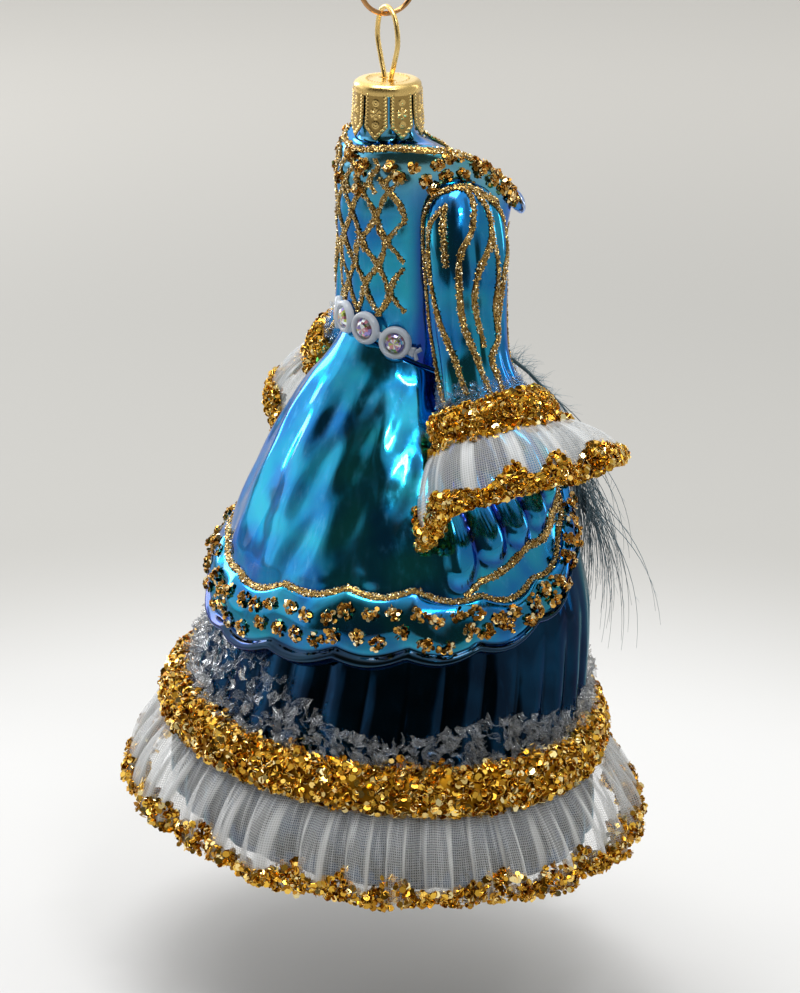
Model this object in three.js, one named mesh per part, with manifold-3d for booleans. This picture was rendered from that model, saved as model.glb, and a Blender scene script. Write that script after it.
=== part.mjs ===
// A hanging glass ornament in the form of an 18th-century court robe: a blown, silvered and lacquered
// glass gown (bodice, two elbow sleeves, an overskirt open in front, a fluted petticoat), with gathered
// organza frills, glitter bands, a strip of set stones round the back waist, a plume down the front,
// and a crown cap whose wire loop hangs from a ring.
//
// Units are millimetres. +Z is up and the robe faces -Y, so the wearer's right sleeve is on the -X side.
// The origin is the inside of the ring's top, where a hook carries the ornament.
// "drop" is always the distance below the cap's top face. "turn" is the angle round the robe, from 0 at
// the back centre, through a quarter turn at the wearer's right, to a half turn at the front.
import * as THREE from "three";
import { mergeVertices } from "three/addons/utils/BufferGeometryUtils.js";
import Module from "manifold-3d";

const wasm = await Module();
wasm.setup();

// ---- Driving dimensions ----------------------------------------------------------------------------

const SEAM_GAP = 0.32; // between pieces that touch
const GLASS_WALL = 1.0;
const CLOTH_WALL = 1.0; // organza with its gathers pressed together
const RING = { radius: 5.2, wire: 0.45 };
const LOOP = { wire: 0.45, halfWidth: 4.2, legSpread: 3.25, waistHalf: 1.35 };
const CAP_TOP = -21.5; // height of the cap's top face under the origin
const CAP = { radius: 6.0, sheet: 0.45, rimDrop: 2.0, petals: 8, petalDrop: 9.8, pointDrop: 2.4, flare: 0.4 };
const NECK = { radius: 5.0, topDrop: 1.3, rootDrop: 9.9 };
const HEM_DROP = 130.4; // lower edge of the glass
const WAIST = { back: 44.3, side: 51.4, front: 53 }; // drops of the seam between bodice and skirt
const NECKLINE = { back: 11.4, side: 11.6, front: 21.8 };

const TURN = 2 * Math.PI;
const RIGHT = 1; // the wearer's right side, -X
const LEFT = -1;

// The skirt's outer form. level runs from 0 at the waist seam to 1 at the lower edge of the glass.
const SKIRT_FORM = [
  { level: 0.0, halfWidth: 12.6, halfDepth: 13.5, forward: 6.4 },
  { level: 0.05, halfWidth: 14.9, halfDepth: 15.9, forward: 6.2 },
  { level: 0.12, halfWidth: 19.4, halfDepth: 19.8, forward: 5.8 },
  { level: 0.23, halfWidth: 26.4, halfDepth: 24.2, forward: 5.2 },
  { level: 0.37, halfWidth: 34.2, halfDepth: 29.0, forward: 5.0 },
  { level: 0.51, halfWidth: 40.0, halfDepth: 32.3, forward: 4.2 },
  { level: 0.62, halfWidth: 42.4, halfDepth: 33.5, forward: 3.0 },
  { level: 0.74, halfWidth: 45.6, halfDepth: 34.8, forward: 0.6 },
  { level: 0.87, halfWidth: 49.8, halfDepth: 36.8, forward: -1.6 },
  { level: 1.0, halfWidth: 51.2, halfDepth: 37.8, forward: -1.6 },
];

// The bodice from the glass neck to the waist. back, side and front are drops of each ring there.
const BODICE_RINGS = [
  { back: NECK.topDrop, side: NECK.topDrop, front: NECK.topDrop, halfWidth: 5, halfDepth: 5, forward: 0 },
  { back: 6, side: 6, front: 6, halfWidth: 5, halfDepth: 5, forward: 0 },
  { back: NECK.rootDrop, side: NECK.rootDrop, front: 10.2, halfWidth: 5.1, halfDepth: 5.2, forward: 0.1 },
  { back: 10.6, side: 10.5, front: 14, halfWidth: 8.2, halfDepth: 8.8, forward: 3.0 },
  { back: 11, side: 10.9, front: 20.6, halfWidth: 11.6, halfDepth: 12.9, forward: 6.7 },
  { ...NECKLINE, halfWidth: 13.2, halfDepth: 14.7, forward: 7.5 },
  { back: 13.2, side: 13.4, front: 23.4, halfWidth: 14.1, halfDepth: 15.5, forward: 7.5 },
  { back: 18, side: 18, front: 26.5, halfWidth: 14.1, halfDepth: 15.5, forward: 7.2 },
  { back: 26, side: 27, front: 32, halfWidth: 13.6, halfDepth: 14.9, forward: 6.6 },
  { back: 35, side: 39.5, front: 42, halfWidth: 12.9, halfDepth: 13.9, forward: 6.5 },
  { back: 41.5, side: 47.8, front: 49.5, halfWidth: 12.5, halfDepth: 13.5, forward: 6.4 },
  { ...WAIST, halfWidth: 12.6, halfDepth: 13.5, forward: 6.4 },
];

// The right sleeve's centre line and section, from the shoulder to the cuff. out is the distance to the
// side of the robe's middle plane; thick is the half size across the arm and broad the one fore and aft.
const SLEEVE_RINGS = [
  { out: 12.2, forward: 7.4, drop: 17.2, thick: 0.8, broad: 1.2 },
  { out: 13.2, forward: 7.4, drop: 18.4, thick: 3.6, broad: 4.6 },
  { out: 15.0, forward: 7.3, drop: 21.0, thick: 5.0, broad: 6.4 },
  { out: 17.0, forward: 7.0, drop: 25.5, thick: 5.6, broad: 7.1 },
  { out: 18.8, forward: 6.6, drop: 32.5, thick: 5.8, broad: 7.0 },
  { out: 19.9, forward: 6.4, drop: 40.0, thick: 5.5, broad: 6.6 },
  { out: 21.6, forward: 6.5, drop: 47.0, thick: 5.4, broad: 6.4 },
  { out: 23.8, forward: 7.1, drop: 52.6, thick: 6.0, broad: 7.6 },
  { out: 26.4, forward: 8.6, drop: 57.8, thick: 7.2, broad: 9.6 },
];
const CUFF_LEVEL = 0.2; // how much of the arm's forward lean the cuff's own plane takes up

const OVERSKIRT = {
  columns: 46,
  frontEdgeTop: 0.475, // share of a turn from the back centre to the front edge, at the waist
  frontEdgeHem: 0.43,
  borderWidth: 12,
  borderRise: 0.8,
  scallops: 15,
  scallopDepth: 1.4,
  // hem: drops of the scalloped edge, by share of the way from the back centre to the front edge
  hem: [
    { share: 0.0, drop: 100.6 },
    { share: 0.2, drop: 98 },
    { share: 0.35, drop: 96.2 },
    { share: 0.5, drop: 94.8 },
    { share: 0.6, drop: 93 },
    { share: 0.7, drop: 90 },
    { share: 0.82, drop: 83.8 },
    { share: 0.92, drop: 77 },
    { share: 1.0, drop: 70 },
  ],
};
// The draped hip swag: a puffed, pleated field on each side of the overskirt, between these edges.
const SWAG = {
  fromTurn: 0.25,
  toTurn: 0.44,
  topDrop: 56,
  lowDropSide: 79.5,
  lowDropFront: 66,
  puff: 1.6,
  pleats: 5,
};
const SOFT_FOLDS = [
  { turn: 0.035, width: 0.02, rise: 0.9 },
  { turn: 0.085, width: 0.016, rise: 0.7 },
  { turn: 0.135, width: 0.022, rise: 1.0 },
  { turn: 0.19, width: 0.018, rise: 0.7 },
  { turn: 0.235, width: 0.016, rise: 0.8 },
];
const PETTICOAT = { inset: 1.4, flutes: 30, fluteDepth: 0.9, columnsPerFlute: 2 };

const FRILL = {
  tuck: 3.4, // how far its upper edge runs up behind the glitter band
  hang: 17.7,
  flare: 5.3,
  wave: 1.6,
  waves: 36,
  columnsPerWave: 4,
  rows: 3,
  edgeBead: 0.9, // the gold edge is this much thicker than the cloth
};
const HEM_BAND = { topDrop: 112.8, bottomDrop: 119.4, stand: 2.8, columns: 40 };

// Angles round the cuff run from its outer side (0) to its front (90) and on to its inner side.
const CUFF = { bandWidth: 5, bandStand: 2.0, bandColumns: 18, fromAngle: -118, toAngle: 132 };
const CUFF_FRILL = { drop: 12.6, edgeOut: 9.4, waves: 9, columnsPerWave: 4, rows: 3, wave: 1.8 };

const BELT = {
  stones: 5,
  pitchTurn: 0.067,
  drop: 1.9, // its middle line lies this far above the waist seam
  cupRadius: 2.45,
  cupDepth: 1.2,
  stand: 0.7,
  bridgeHalf: 1.1,
  bridgeThickHalf: 0.35,
};
const STONE = { radius: 1.6, depth: 1.0, sides: 8 };
const BOW = { drop: 24.2, loop: 3.0, height: 2.2, knot: 1.1 };

// The plume's quill, from its glued root at the front waist to its tip.
const QUILL = [
  { side: 1.2, forward: 20.8, drop: 51.6 },
  { side: 1.6, forward: 29.4, drop: 58.5 },
  { side: 2.2, forward: 34.8, drop: 66 },
  { side: 2.8, forward: 38.6, drop: 76 },
  { side: 3.2, forward: 40.6, drop: 86 },
];
const PLUME = {
  barbs: 26,
  barbRoot: 0.36,
  barbTip: 0.18,
  quillRoot: 0.6,
  sides: 3,
  shortest: 17,
  longest: 28,
};

// ---- Colours ---------------------------------------------------------------------------------------

const finish = (color, roughness, metalness) =>
  new THREE.MeshStandardMaterial({ color, roughness, metalness });
const LACQUERED_GLASS = finish(0x1673b4, 0.12, 0.85);
const NAVY_GLASS = finish(0x0b2c4c, 0.12, 0.75);
const ORGANZA = finish(0xdfe3e6, 0.7, 0.0);
const GLITTER = finish(0xc9932c, 0.35, 0.9);
const CAP_METAL = finish(0xd9b45a, 0.25, 1.0);
const RING_METAL = finish(0xa9794a, 0.25, 1.0);
const FROSTED_PLASTIC = finish(0xc3cddb, 0.5, 0.0);
const STONE_GLASS = finish(0xe6d8dc, 0.05, 0.3);
const FEATHER = finish(0x2f5f74, 0.8, 0.0);

// ---- Small maths -----------------------------------------------------------------------------------

const lerp = (a, b, t) => a + (b - a) * t;
const clamp01 = (t) => Math.min(1, Math.max(0, t));
const smooth = (from, to, x) => {
  const t = clamp01((x - from) / (to - from));
  return t * t * (3 - 2 * t);
};
const bump = (x, centre, width) => Math.exp(-(((x - centre) / width) ** 2));

// Reads one column of a table at x by a smooth curve through its rows (Catmull-Rom on uneven steps).
function readTable(table, key, column, x) {
  const last = table.length - 1;
  let i = 0;
  while (i < last - 1 && table[i + 1][key] < x) i++;
  const [p, q] = [table[i], table[i + 1]];
  const before = table[Math.max(0, i - 1)];
  const after = table[Math.min(last, i + 2)];
  const span = q[key] - p[key];
  const t = clamp01((x - p[key]) / span);
  const slopeP = ((q[column] - before[column]) / (q[key] - before[key])) * span;
  const slopeQ = ((after[column] - p[column]) / (after[key] - p[key])) * span;
  const [t2, t3] = [t * t, t * t * t];
  return (
    (2 * t3 - 3 * t2 + 1) * p[column] +
    (t3 - 2 * t2 + t) * slopeP +
    (3 * t2 - 2 * t3) * q[column] +
    (t3 - t2) * slopeQ
  );
}
const numbered = (rows) => rows.map((row, index) => ({ ...row, index }));
const BODICE_TABLE = numbered(BODICE_RINGS);
const SLEEVE_TABLE = numbered(SLEEVE_RINGS);
const CUFF_END = SLEEVE_TABLE.length - 1;

// A drop that is back at the back centre, side at the sides and front at the front centre.
function dropRound(back, side, front, turn) {
  const c = Math.cos(turn);
  return (back + front) / 2 + ((back - front) / 2) * c + (side - (back + front) / 2) * (1 - c * c);
}
const waistDrop = (turn) => dropRound(WAIST.back, WAIST.side, WAIST.front, turn);

function onOval(halfWidth, halfDepth, forward, drop, turn) {
  return new THREE.Vector3(
    -halfWidth * Math.sin(turn),
    halfDepth * Math.cos(turn) - forward,
    CAP_TOP - drop,
  );
}

// ---- Surfaces --------------------------------------------------------------------------------------

// A surface is a function (u, v) -> point, with u round the form and v down it.
// The outward normal comes from two short steps along it.
function normalOf(surface, u, v) {
  const step = 1e-3;
  const round = surface(u + step, v).sub(surface(u - step, v));
  const down = surface(u, v + step).sub(surface(u, v - step));
  return down.cross(round).normalize();
}
const moved = (surface, u, v, distance) => surface(u, v).addScaledVector(normalOf(surface, u, v), distance);

const bodiceSurface = (turn, index) => {
  const read = (column) => readTable(BODICE_TABLE, "index", column, index);
  const drop = dropRound(read("back"), read("side"), read("front"), turn);
  return onOval(read("halfWidth"), read("halfDepth"), read("forward"), drop, turn);
};

const skirtDrop = (turn, level) => lerp(waistDrop(turn), HEM_DROP, level);
const skirtLevel = (turn, drop) => (drop - waistDrop(turn)) / (HEM_DROP - waistDrop(turn));
const skirtSurface = (turn, level) => {
  const read = (column) => readTable(SKIRT_FORM, "level", column, level);
  return onOval(read("halfWidth"), read("halfDepth"), read("forward"), skirtDrop(turn, level), turn);
};

// ---- Solids from grids -----------------------------------------------------------------------------

function geometryOf(points, faces) {
  const geometry = new THREE.BufferGeometry();
  geometry.setAttribute(
    "position",
    new THREE.Float32BufferAttribute(points.flatMap((p) => [p.x, p.y, p.z]), 3),
  );
  geometry.setIndex(faces);
  return signedVolume(points, faces) < 0 ? flipped(geometry) : geometry;
}
function signedVolume(points, faces) {
  let sum = 0;
  for (let i = 0; i < faces.length; i += 3) {
    const [a, b, c] = [points[faces[i]], points[faces[i + 1]], points[faces[i + 2]]];
    sum += a.dot(b.clone().cross(c));
  }
  return sum / 6;
}
function flipped(geometry) {
  const index = geometry.index.array;
  for (let i = 0; i < index.length; i += 3) [index[i + 1], index[i + 2]] = [index[i + 2], index[i + 1]];
  return geometry;
}

// A wall between two grids of the same size: rows down, columns round. A closed wall joins its last
// column to its first; an open one gets a face along each side edge.
function wallGeometry(rows, columns, closed, outer, inner) {
  const points = [];
  const across = closed ? columns : columns + 1;
  for (const layer of [outer, inner])
    for (let i = 0; i <= rows; i++) for (let j = 0; j < across; j++) points.push(layer(i, j));
  const at = (layer, i, j) => layer * (rows + 1) * across + i * across + (j % across);
  const faces = [];
  const quad = (a, b, c, d) => faces.push(a, b, c, a, c, d);
  for (let j = 0; j < columns; j++) {
    for (let i = 0; i < rows; i++) {
      quad(at(0, i, j), at(0, i + 1, j), at(0, i + 1, j + 1), at(0, i, j + 1));
      quad(at(1, i, j), at(1, i, j + 1), at(1, i + 1, j + 1), at(1, i + 1, j));
    }
    quad(at(0, 0, j), at(0, 0, j + 1), at(1, 0, j + 1), at(1, 0, j));
    quad(at(0, rows, j), at(1, rows, j), at(1, rows, j + 1), at(0, rows, j + 1));
  }
  if (!closed)
    for (let i = 0; i < rows; i++) {
      quad(at(0, i, 0), at(1, i, 0), at(1, i + 1, 0), at(0, i + 1, 0));
      quad(at(0, i, columns), at(0, i + 1, columns), at(1, i + 1, columns), at(1, i, columns));
    }
  return geometryOf(points, faces);
}

// A full solid through rings of points, with a fan over each end.
function loftGeometry(rings) {
  const count = rings[0].length;
  const centre = (ring) => ring.reduce((sum, p) => sum.add(p), new THREE.Vector3()).divideScalar(count);
  const points = [...rings.flat(), centre(rings[0]), centre(rings.at(-1))];
  const [first, last] = [points.length - 2, points.length - 1];
  const faces = [];
  for (let j = 0; j < count; j++) {
    const k = (j + 1) % count;
    for (let i = 0; i < rings.length - 1; i++) {
      const [a, b, c, d] = [i * count + j, (i + 1) * count + j, (i + 1) * count + k, i * count + k];
      faces.push(a, b, c, a, c, d);
    }
    const end = (rings.length - 1) * count;
    faces.push(first, j, k, last, end + k, end + j);
  }
  return geometryOf(points, faces);
}

// A ring whose section (a closed list of points) is carried round; open rings get their ends closed.
function sweptRing(columns, closed, sectionAt) {
  const rings = [];
  for (let j = 0; j < (closed ? columns : columns + 1); j++) rings.push(sectionAt(j / columns));
  if (!closed) return loftGeometry(rings);
  const count = rings[0].length;
  const faces = [];
  for (let j = 0; j < columns; j++)
    for (let i = 0; i < count; i++) {
      const [jn, n] = [(j + 1) % columns, (i + 1) % count];
      faces.push(j * count + i, jn * count + i, jn * count + n, j * count + i, jn * count + n, j * count + n);
    }
  return geometryOf(rings.flat(), faces);
}

// ---- Booleans --------------------------------------------------------------------------------------

function solid(geometry) {
  const bare = geometry.clone();
  for (const name of ["normal", "uv"]) if (bare.getAttribute(name)) bare.deleteAttribute(name);
  const merged = mergeVertices(bare, 1e-4);
  return new wasm.Manifold(
    new wasm.Mesh({
      numProp: 3,
      vertProperties: new Float32Array(merged.attributes.position.array),
      triVerts: new Uint32Array(merged.index.array),
    }),
  );
}
function geometryFrom(manifold) {
  const largest = manifold.decompose().sort((a, b) => b.volume() - a.volume())[0];
  const mesh = largest.getMesh();
  const geometry = new THREE.BufferGeometry();
  geometry.setAttribute("position", new THREE.BufferAttribute(new Float32Array(mesh.vertProperties), 3));
  geometry.setIndex(new THREE.BufferAttribute(new Uint32Array(mesh.triVerts), 1));
  return geometry;
}
const union = (solids) => solids.reduce((sum, next) => sum.add(next));
function mirrored(geometry) {
  const copy = geometry.clone();
  copy.scale(-1, 1, 1);
  return flipped(copy);
}

// ---- Ring, loop and cap ----------------------------------------------------------------------------

function ringGeometry() {
  const ring = new THREE.TorusGeometry(RING.radius, RING.wire, 6, 28);
  ring.rotateY(Math.PI / 2);
  ring.translate(0, 0, RING.wire - RING.radius);
  return ring;
}

function roundSection(radius, sides) {
  const shape = new THREE.Shape();
  for (let i = 0; i < sides; i++) {
    const [x, y] = [radius * Math.cos((i / sides) * TURN), radius * Math.sin((i / sides) * TURN)];
    i ? shape.lineTo(x, y) : shape.moveTo(x, y);
  }
  return shape;
}

// The loop hangs over the ring's lowest wire; its legs pass the cap's two holes and spread in the neck.
function loopGeometry() {
  const top = 2 * (RING.wire - RING.radius) + LOOP.wire + SEAM_GAP;
  const height = top - CAP_TOP;
  const half = [
    [LOOP.legSpread, CAP_TOP - 8.6],
    [LOOP.legSpread * 0.8, CAP_TOP - 4.6],
    [LOOP.waistHalf, CAP_TOP - 0.3],
    [LOOP.halfWidth * 0.62, CAP_TOP + height * 0.22],
    [LOOP.halfWidth, CAP_TOP + height * 0.55],
    [LOOP.halfWidth * 0.72, CAP_TOP + height * 0.88],
  ];
  const points = [
    ...half.map(([x, z]) => new THREE.Vector3(-x, 0, z)),
    new THREE.Vector3(0, 0, top),
    ...half.reverse().map(([x, z]) => new THREE.Vector3(x, 0, z)),
  ];
  return new THREE.ExtrudeGeometry(roundSection(LOOP.wire, 6), {
    extrudePath: new THREE.CatmullRomCurve3(points),
    steps: 26,
    bevelEnabled: false,
  });
}

// A disc with a rolled rim and eight pointed petals that flare a little over the glass neck.
function capGeometry() {
  const [outer, sheet] = [CAP.radius, CAP.sheet];
  const profile = [
    [0, 0],
    [outer - 1.6, 0],
    [outer - 0.6, -0.15],
    [outer - 0.1, -0.7],
    [outer, -CAP.rimDrop],
    [outer - sheet, -CAP.rimDrop],
    [outer - sheet - 0.15, -0.85],
    [outer - 1.5, -sheet],
    [0, -sheet],
  ].map(([r, z]) => new THREE.Vector2(r, z));
  const crown = new THREE.LatheGeometry(profile.reverse(), 20);
  crown.rotateX(Math.PI / 2);
  const hole = new THREE.CylinderGeometry(LOOP.wire + 0.4, LOOP.wire + 0.4, 4, 8);
  hole.rotateX(Math.PI / 2);
  const holeOut = LOOP.waistHalf + 0.08;
  let cap = solid(outwards(crown));
  for (const side of [RIGHT, LEFT]) cap = cap.subtract(solid(hole.clone().translate(side * holeOut, 0, 0)));
  const petals = [];
  for (let k = 0; k < CAP.petals; k++) petals.push(solid(petalGeometry((k / CAP.petals) * TURN)));
  return geometryFrom(union([cap, ...petals])).translate(0, 0, CAP_TOP);
}
function petalGeometry(heading) {
  const [rows, columns] = [3, 2];
  const half = (0.455 * TURN) / CAP.petals;
  const place = (i, j, inward) => {
    const across = (j / columns) * 2 - 1;
    const down = i / rows;
    const length = CAP.petalDrop - CAP.pointDrop * Math.abs(across) - (CAP.rimDrop - 0.35);
    const radius = CAP.radius + CAP.flare * down ** 2 - inward;
    const angle = heading + across * half;
    return new THREE.Vector3(
      radius * Math.cos(angle),
      radius * Math.sin(angle),
      -(CAP.rimDrop - 0.35) - down * length,
    );
  };
  return wallGeometry(rows, columns, false, (i, j) => place(i, j, 0), (i, j) => place(i, j, CAP.sheet));
}
// Turns a closed geometry's faces round if they point in.
function outwards(geometry) {
  const index = geometry.index.array;
  const position = geometry.attributes.position;
  const points = [];
  for (let i = 0; i < position.count; i++) points.push(new THREE.Vector3().fromBufferAttribute(position, i));
  return signedVolume(points, [...index]) < 0 ? flipped(geometry) : geometry;
}

// ---- Bodice ----------------------------------------------------------------------------------------

const BODICE_GRID = { rows: 15, columns: 28 };
const bodiceTurn = (j) => (j / BODICE_GRID.columns) * TURN;
const bodiceIndex = (i) => (i / BODICE_GRID.rows) * (BODICE_RINGS.length - 1);

function bodiceRings(offset) {
  const rings = [];
  for (let i = 0; i <= BODICE_GRID.rows; i++) {
    const ring = [];
    for (let j = 0; j < BODICE_GRID.columns; j++) {
      ring.push(moved(bodiceSurface, bodiceTurn(j), bodiceIndex(i), offset));
    }
    rings.push(ring);
  }
  return rings;
}
function bodiceGeometry(armholes) {
  const outer = bodiceRings(0);
  const inner = bodiceRings(-GLASS_WALL);
  const wall = solid(
    wallGeometry(BODICE_GRID.rows, BODICE_GRID.columns, true, (i, j) => outer[i][j], (i, j) => inner[i][j]),
  );
  return geometryFrom(armholes.reduce((rest, hole) => rest.subtract(hole), wall));
}

// ---- Sleeves ---------------------------------------------------------------------------------------

const sleeveRead = (column, index) => readTable(SLEEVE_TABLE, "index", column, index);
const sleeveCentre = (index) =>
  new THREE.Vector3(
    -sleeveRead("out", index),
    -sleeveRead("forward", index),
    CAP_TOP - sleeveRead("drop", index),
  );
// The sleeve's own axes at a ring: along it, outward across it, and forward.
function sleeveAxes(index) {
  const step = 0.05;
  const top = Math.max(0, index - step);
  const low = Math.min(CUFF_END, index + step);
  const along = sleeveCentre(low).sub(sleeveCentre(top));
  along.y *= lerp(1, CUFF_LEVEL, smooth(CUFF_END - 2, CUFF_END, index));
  along.normalize();
  const forward = new THREE.Vector3(0, -1, 0);
  forward.addScaledVector(along, -forward.dot(along)).normalize();
  const outward = forward.clone().cross(along).normalize();
  if (outward.x > 0) outward.negate();
  return { along, outward, forward };
}
function sleeveRing(index, sides, shrink, slide = 0) {
  const { along, outward, forward } = sleeveAxes(index);
  const centre = sleeveCentre(index).addScaledVector(along, slide);
  const [thick, broad] = [sleeveRead("thick", index) - shrink, sleeveRead("broad", index) - shrink];
  return Array.from({ length: sides }, (_, k) => {
    const angle = (k / sides) * TURN;
    return centre
      .clone()
      .addScaledVector(outward, thick * Math.cos(angle))
      .addScaledVector(forward, broad * Math.sin(angle));
  });
}
const SLEEVE_GRID = { rows: 9, sides: 15 };
function sleeveSolids() {
  const last = SLEEVE_TABLE.length - 1;
  const outerRings = [];
  const innerRings = [];
  for (let i = 0; i <= SLEEVE_GRID.rows; i++) {
    const index = (i / SLEEVE_GRID.rows) * last;
    outerRings.push(sleeveRing(index, SLEEVE_GRID.sides, 0));
    const hollowFits = sleeveRead("thick", index) > 2 * GLASS_WALL;
    if (hollowFits) innerRings.push(sleeveRing(index, SLEEVE_GRID.sides, GLASS_WALL));
  }
  innerRings.push(sleeveRing(last, SLEEVE_GRID.sides, GLASS_WALL, 2));
  return { outer: solid(loftGeometry(outerRings)), hollow: solid(loftGeometry(innerRings)) };
}

// ---- Overskirt and petticoat -----------------------------------------------------------------------

const skirtTurnShare = (turn) => Math.min((turn / TURN + 1) % 1, 1 - ((turn / TURN + 1) % 1));
const overskirtEdge = (down) => lerp(OVERSKIRT.frontEdgeTop, OVERSKIRT.frontEdgeHem, down ** 1.4);
function overskirtHem(share) {
  const wave = Math.abs(Math.sin(share * OVERSKIRT.scallops * Math.PI * 0.5 + 0.35));
  return readTable(OVERSKIRT.hem, "share", "drop", Math.abs(share)) + OVERSKIRT.scallopDepth * (wave - 0.5);
}
// Height of the overskirt's outside over the plain form: soft folds, the raised border and the swags.
function overskirtRise(turn, drop, hemDrop) {
  const share = skirtTurnShare(turn);
  const oneFold = ({ turn: at, width, rise }) => rise * (bump(share, at, width) + bump(-share, at, width));
  const folds = SOFT_FOLDS.reduce((sum, fold) => sum + oneFold(fold), 0);
  const borderTop = hemDrop - OVERSKIRT.borderWidth;
  const body = smooth(50, 66, drop) * (1 - smooth(borderTop - 4, borderTop, drop));
  const border = OVERSKIRT.borderRise * smooth(borderTop - 0.9, borderTop + 0.5, drop);
  return folds * body + border + swagRise(share, drop);
}
function swagRise(share, drop) {
  const across = (share - SWAG.fromTurn) / (SWAG.toTurn - SWAG.fromTurn);
  const low = lerp(SWAG.lowDropSide, SWAG.lowDropFront, clamp01(across) ** 0.6);
  const down = (drop - SWAG.topDrop) / (low - SWAG.topDrop);
  if (across < 0 || across > 1.1 || down < 0 || down > 1.06) return 0;
  const pleat = 0.55 + 0.45 * Math.abs(Math.sin(across * SWAG.pleats * Math.PI + 0.9 * down));
  const ends = smooth(0, 0.12, across) * (1 - smooth(0.98, 1.1, across));
  return SWAG.puff * pleat * ends * smooth(0, 0.5, down) * (1 - smooth(0.86, 1.06, down));
}
const OVERSKIRT_ROWS = [0, 0.06, 0.15, 0.27, 0.4, 0.53, 0.66, 0.75, 0.79, 0.89, 1];
function overskirtPoint(i, j, offset) {
  const side = (j / OVERSKIRT.columns) * 2 - 1;
  const down = OVERSKIRT_ROWS[i];
  const turn = side * overskirtEdge(down) * TURN;
  const hem = overskirtHem(side);
  const drop = lerp(waistDrop(turn) + SEAM_GAP, hem, down);
  const rise = overskirtRise(turn, drop, hem);
  return moved(skirtSurface, turn, skirtLevel(turn, drop), (offset < 0 ? 0.7 * rise : rise) + offset);
}
const overskirtGeometry = () =>
  wallGeometry(
    OVERSKIRT_ROWS.length - 1,
    OVERSKIRT.columns,
    false,
    (i, j) => overskirtPoint(i, j, 0),
    (i, j) => overskirtPoint(i, j, -GLASS_WALL),
  );

const PETTICOAT_LEVELS = [0.004, 0.06, 0.16, 0.37, 0.58, 0.78, 1];
function petticoatPoint(turn, level, offset) {
  const open = smooth(0.42, 0.7, level);
  const flute = Math.abs(Math.sin((turn * PETTICOAT.flutes) / 2)) - 1;
  return moved(skirtSurface, turn, level, PETTICOAT.fluteDepth * open * flute - PETTICOAT.inset + offset);
}
function petticoatGeometry() {
  const columns = PETTICOAT.flutes * PETTICOAT.columnsPerFlute;
  const point = (i, j, offset) => petticoatPoint((j / columns) * TURN, PETTICOAT_LEVELS[i], offset);
  return wallGeometry(
    PETTICOAT_LEVELS.length - 1,
    columns,
    true,
    (i, j) => point(i, j, 0),
    (i, j) => point(i, j, -GLASS_WALL),
  );
}

// The whole skirt's outside, moved out by two seam gaps, to trim what hangs against it.
function skirtEnvelope() {
  const rings = [];
  for (let level = 0; level <= 0.64; level += 0.04) {
    const ring = [];
    for (let j = 0; j < 60; j++) {
      const turn = (j / 60) * TURN;
      const drop = skirtDrop(turn, level);
      const rise = Math.max(...[-0.05, 0, 0.05].map((step) => overskirtRise(turn + step, drop, HEM_DROP)));
      ring.push(moved(skirtSurface, turn, level, rise + 2 * SEAM_GAP));
    }
    rings.push(ring);
  }
  return solid(loftGeometry(rings));
}

// ---- Hem band and hem frill ------------------------------------------------------------------------

const onGlass = (turn, drop, out) => moved(skirtSurface, turn, skirtLevel(turn, drop), out - PETTICOAT.inset);

// The glitter band laps over the frill's upper edge and meets the glass above it.
function hemBandGeometry() {
  const { topDrop, bottomDrop, stand, columns } = HEM_BAND;
  const over = CLOTH_WALL + 3.2 * SEAM_GAP;
  const step = bottomDrop - FRILL.tuck - 0.35;
  const section = [
    [SEAM_GAP, topDrop],
    [stand * 0.62, topDrop + 0.5],
    [stand, topDrop + 2],
    [stand, bottomDrop - 1.2],
    [stand * 0.75, bottomDrop],
    [over, bottomDrop],
    [over, step],
    [SEAM_GAP, step],
  ];
  return sweptRing(columns, true, (share) => section.map(([out, drop]) => onGlass(share * TURN, drop, out)));
}

// The frill's out-and-down profile: it springs out under the band, then falls, and curls in at its edge.
function hemFrillGeometry() {
  const { waves, columnsPerWave, rows, tuck, hang, flare, wave, edgeBead } = FRILL;
  const columns = waves * columnsPerWave;
  const top = HEM_BAND.bottomDrop - tuck;
  const place = (i, j, outside) => {
    const turn = (j / columns) * TURN;
    const down = i === 0 ? 0 : lerp(tuck / hang, 1, (i - 1) / (rows - 1));
    const free = clamp01((down * hang - tuck) / (hang - tuck));
    const uneven = 0.8 + 0.2 * Math.sin(7 * turn + 1.3) * Math.cos(4 * turn);
    const size = wave * free ** 0.7 * uneven;
    const ripple = size * Math.sin(waves * turn + 0.6 * Math.sin(5 * turn));
    const thick = CLOTH_WALL + edgeBead * smooth(0.6, 1, free);
    const spring = flare * (1 - (1 - free) ** 2) - 0.8 * free ** 4;
    const out = 1.6 * SEAM_GAP + CLOTH_WALL / 2 + spring + 0.6 * size + ripple;
    const drop = top + down * hang - 0.5 * ripple * free;
    const skin = Math.min(drop, HEM_DROP - 0.01);
    return onGlass(turn, skin, out + (outside ? 0.5 : -0.5) * thick).setZ(CAP_TOP - drop);
  };
  return wallGeometry(rows, columns, true, (i, j) => place(i, j, true), (i, j) => place(i, j, false));
}

// ---- Cuffs -----------------------------------------------------------------------------------------

const radians = THREE.MathUtils.degToRad;
const cuffAngle = (share) => radians(lerp(CUFF.fromAngle, CUFF.toAngle, share));

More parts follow.
